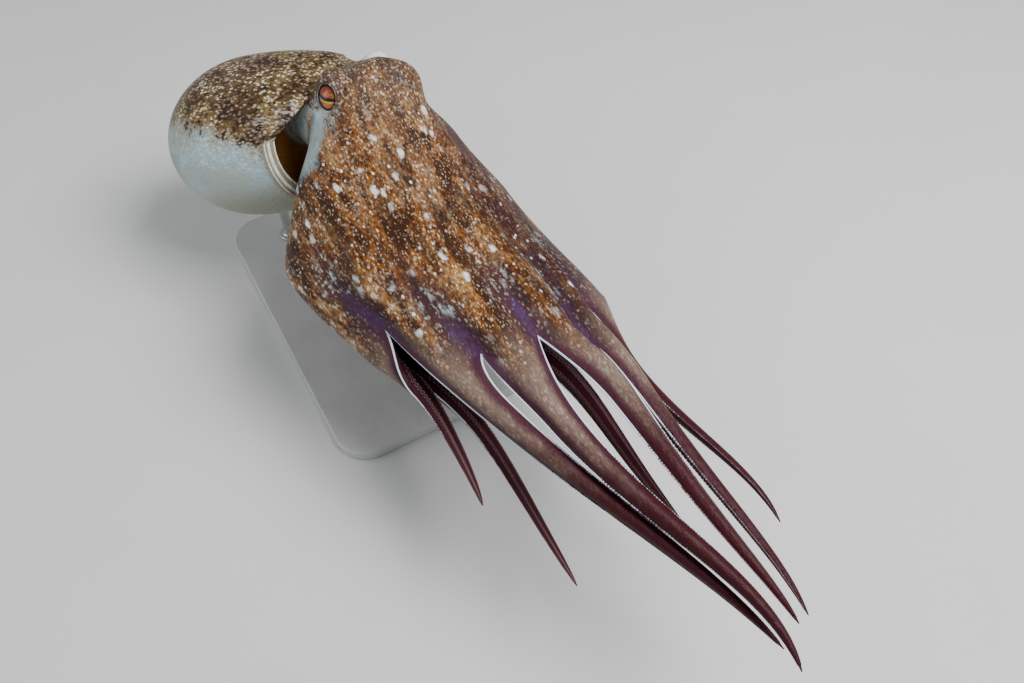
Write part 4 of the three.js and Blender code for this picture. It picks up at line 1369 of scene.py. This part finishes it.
class OctopusStage(bpy.types.PropertyGroup):
    """The camera, the lights and the floor."""

    camera_place: bpy.props.FloatVectorProperty(
        name="Camera", description="Where the camera stands", default=(0.5622, -0.1667, 0.7560), subtype="XYZ"
    )
    camera_way: bpy.props.FloatVectorProperty(
        name="View", description="Where the camera looks", default=(-0.5017, 0.2781, -0.8192), subtype="XYZ"
    )
    lens: bpy.props.FloatProperty(name="Lens", description="Focal length in mm", default=35.0, min=1.0)
    key_power: bpy.props.FloatProperty(name="Key", description="Power of the large soft light", default=34.0)
    fill_power: bpy.props.FloatProperty(name="Fill", description="Power of the fill light", default=8.0)
    sky_power: bpy.props.FloatProperty(name="Surroundings", description="Even light all round", default=0.3)
    floor_size: length_setting("Floor", "Side of the square floor", 6.0)


# --- operators ---
FLESH = ["mantle", "head", "funnel"]
FLESH += [f"arm_{part}_{arm.name}" for arm in ARMS for part in ("base", "middle", "tip")]
FLESH += [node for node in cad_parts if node.startswith("web_")]


class OCTOPUS_OT_skin(bpy.types.Operator):
    """Makes the skin of the whole animal, with its suckers, margins and funnel, as one piece"""

    bl_idname = "octopus.skin"
    bl_label = "Skin"

    def execute(self, context):
        shape, colours = context.scene.octopus_shape, context.scene.octopus_colours
        shell = Shell(Form(shape))
        add_body(shell)
        add_lids(shell)
        add_lining(shell)
        for i in range(SECTORS):
            add_arm(shell, i)
            add_suckers(shell, i, shape.sucker_radius / MM)
            add_margin(shell, i, shape.margin_thickness / MM)
        add_funnel(shell)
        finishes = [skin_finish(colours), sucker_finish(colours), margin_finish(colours)]
        skin = shell.build("octopus_skin", finishes)
        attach(skin, "root")
        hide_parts(*FLESH)
        return {"FINISHED"}


class OCTOPUS_OT_eyes(bpy.types.Operator):
    """Makes both eyeballs, with a slightly bulging clear front over the iris"""

    bl_idname = "octopus.eyes"
    bl_label = "Eyes"

    def execute(self, context):
        form = Form(context.scene.octopus_shape)
        finish = eye_finish(context.scene.octopus_colours)
        polar = np.linspace(0, np.pi, EYE_ROWS)[:, None]
        turn = round_turn(EYE_SIDES)[None, :]
        bulge = 1 + EYE_BULGE * rise(0.9, 0.0, polar)
        wide = np.sin(polar) * bulge
        local = points(np.cos(turn) * wide, np.sin(turn) * wide, np.cos(polar) * bulge)
        faces = grid_faces(EYE_ROWS, EYE_SIDES, closed=True).tolist()
        tilt = np.radians(SLIT_TILT)
        for side, name in ((-1, "right"), (1, "left")):
            middle, gaze, level, upright = form.eye(side)
            across = level * np.cos(tilt) - side * upright * np.sin(tilt)
            ways = np.array([across, np.cross(gaze, across), gaze])
            p = middle + form.eye_radius * (local @ ways)
            mesh = smooth_mesh(f"eyeball_{name}", form.placed(p), faces)
            keep(mesh, "iris", local.reshape(-1, 3))
            weld(mesh, EYE_JOIN * MM)
            mesh.materials.append(finish)
            eyeball = put(f"eyeball_{name}", mesh)
            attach(eyeball, "root")
            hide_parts(f"eye_{name}")
        return {"FINISHED"}


class OCTOPUS_OT_stand(bpy.types.Operator):
    """Makes the display stand: a plate with softened edges, and two turned rods with cups"""

    bl_idname = "octopus.stand"
    bl_label = "Stand"

    def execute(self, context):
        colours = context.scene.octopus_colours
        low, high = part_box("stand_base")
        base = self.plate("base_plate", low, high)
        base.data.materials.append(stand_finish(colours))
        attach(base, "root")
        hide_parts("stand_base")
        finish = rod_finish(colours)
        for name in ("rear", "front"):
            rod = self.rod(f"rod_{name}", *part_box(f"stand_rod_{name}"))
            rod.data.materials.append(finish)
            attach(rod, "root")
            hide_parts(f"stand_rod_{name}")
        return {"FINISHED"}

    @staticmethod
    def rod(name, low, high):
        """A turned rod: a collar on the plate, a bead under the cup, and the cup's soft lip."""
        wide, place = np.array(ROD_PROFILE).T[:, :, None]
        height = (high[2] - low[2]) / MM
        up = np.where(place < 0, height + place, place)
        turn = round_turn(ROD_SIDES)[None, :]
        p = points(np.cos(turn) * wide, np.sin(turn) * wide, up) * MM
        foot = np.array([(low[0] + high[0]) / 2, (low[1] + high[1]) / 2, low[2]])
        mesh = smooth_mesh(name, p + foot, grid_faces(len(ROD_PROFILE), ROD_SIDES, closed=True).tolist())
        mesh.flip_normals()
        return put(name, mesh)

    @staticmethod
    def plate(name, low, high):
        """A plate with round corners and softened edges."""
        work = bmesh.new()
        size = high - low
        box = Matrix.Translation((low + high) / 2) @ Matrix.Diagonal((*size, 1))
        bmesh.ops.create_cube(work, size=1.0, matrix=box)
        upright = [e for e in work.edges if abs(e.verts[0].co.z - e.verts[1].co.z) > size.z / 2]
        corner = {"offset": PLATE_CORNER * MM, "segments": 14}
        bmesh.ops.bevel(work, geom=upright, profile=0.5, affect="EDGES", **corner)
        level = [e for e in work.edges if abs(e.verts[0].co.z - e.verts[1].co.z) < 1e-6]
        outer = [e for e in level if len(e.link_faces) == 2 and abs(e.calc_face_angle(0)) > 1]
        soft = {"offset": PLATE_SOFT * MM, "segments": 4}
        bmesh.ops.bevel(work, geom=outer, profile=0.5, affect="EDGES", **soft)
        mesh = bpy.data.meshes.new(name)
        work.to_mesh(mesh)
        work.free()
        mesh.polygons.foreach_set("use_smooth", np.ones(len(mesh.polygons), bool))
        piece = put(name, mesh)
        piece.modifiers.new("crisp flats", "WEIGHTED_NORMAL")
        return piece


class OCTOPUS_OT_stage(bpy.types.Operator):
    """Makes the plain floor, the soft lights and the camera"""

    bl_idname = "octopus.stage"
    bl_label = "Stage"

    def execute(self, context):
        stage, colours = context.scene.octopus_stage, context.scene.octopus_colours
        half = stage.floor_size / 2
        mesh = bpy.data.meshes.new("floor")
        corners = [(-half, -half), (half, -half), (half, half), (-half, half)]
        mesh.from_pydata([(*corner, -FLOOR_DROP * MM) for corner in corners], [], [(0, 1, 2, 3)])
        mesh.materials.append(floor_finish(colours))
        floor = put("floor", mesh)
        self.light("key", *KEY_LIGHT, stage.key_power)
        self.light("fill", *FILL_LIGHT, stage.fill_power)
        world = bpy.data.worlds.new("surroundings")
        world.use_nodes = True
        air = world.node_tree.nodes["Background"]
        air.inputs[0].default_value = AIR
        air.inputs[1].default_value = stage.sky_power
        context.scene.world = world
        camera = bpy.data.cameras.new("view")
        camera.lens = stage.lens
        camera.sensor_width = 36.0
        camera.clip_start = 0.01
        holder = put("view", camera)
        holder.location = stage.camera_place
        holder.rotation_euler = Vector(stage.camera_way).to_track_quat("-Z", "Y").to_euler()
        context.scene.camera = holder
        return {"FINISHED"}

    @staticmethod
    def light(name, place, size, power):
        """A soft square light that looks at the model."""
        lamp = bpy.data.lights.new(name, "AREA")
        lamp.size = size
        lamp.energy = power
        holder = put(name, lamp)
        holder.location = place
        holder.rotation_euler = (Vector(LIT_POINT) - Vector(place)).to_track_quat("-Z", "Y").to_euler()


class OCTOPUS_PT_panel(bpy.types.Panel):
    """Lists the settings and the pieces in the sidebar"""

    bl_idname = "OCTOPUS_PT_panel"
    bl_label = "Octopus"
    bl_space_type = "VIEW_3D"
    bl_region_type = "UI"
    bl_category = "Octopus"

    def draw(self, context):
        layout = self.layout
        for operator in OPERATORS:
            layout.operator(operator.bl_idname)
        for title, settings in SETTINGS.items():
            box = layout.box()
            box.label(text=title)
            group = getattr(context.scene, f"octopus_{title.lower()}")
            for name in settings.__annotations__:
                box.prop(group, name)


SETTINGS = {"Shape": OctopusShape, "Colours": OctopusColours, "Stage": OctopusStage}
OPERATORS = [OCTOPUS_OT_skin, OCTOPUS_OT_eyes, OCTOPUS_OT_stand, OCTOPUS_OT_stage]


def register():
    for kind in (*SETTINGS.values(), *OPERATORS, OCTOPUS_PT_panel):
        bpy.utils.register_class(kind)
    for title, settings in SETTINGS.items():
        setattr(bpy.types.Scene, f"octopus_{title.lower()}", bpy.props.PointerProperty(type=settings))


def unregister():
    for title in SETTINGS:
        delattr(bpy.types.Scene, f"octopus_{title.lower()}")
    for kind in (OCTOPUS_PT_panel, *OPERATORS[::-1], *SETTINGS.values()):
        bpy.utils.unregister_class(kind)


def main():
    register()
    bpy.ops.octopus.stage()
    bpy.ops.octopus.skin()
    bpy.ops.octopus.eyes()
    bpy.ops.octopus.stand()


if __name__ == "__main__":
    main()
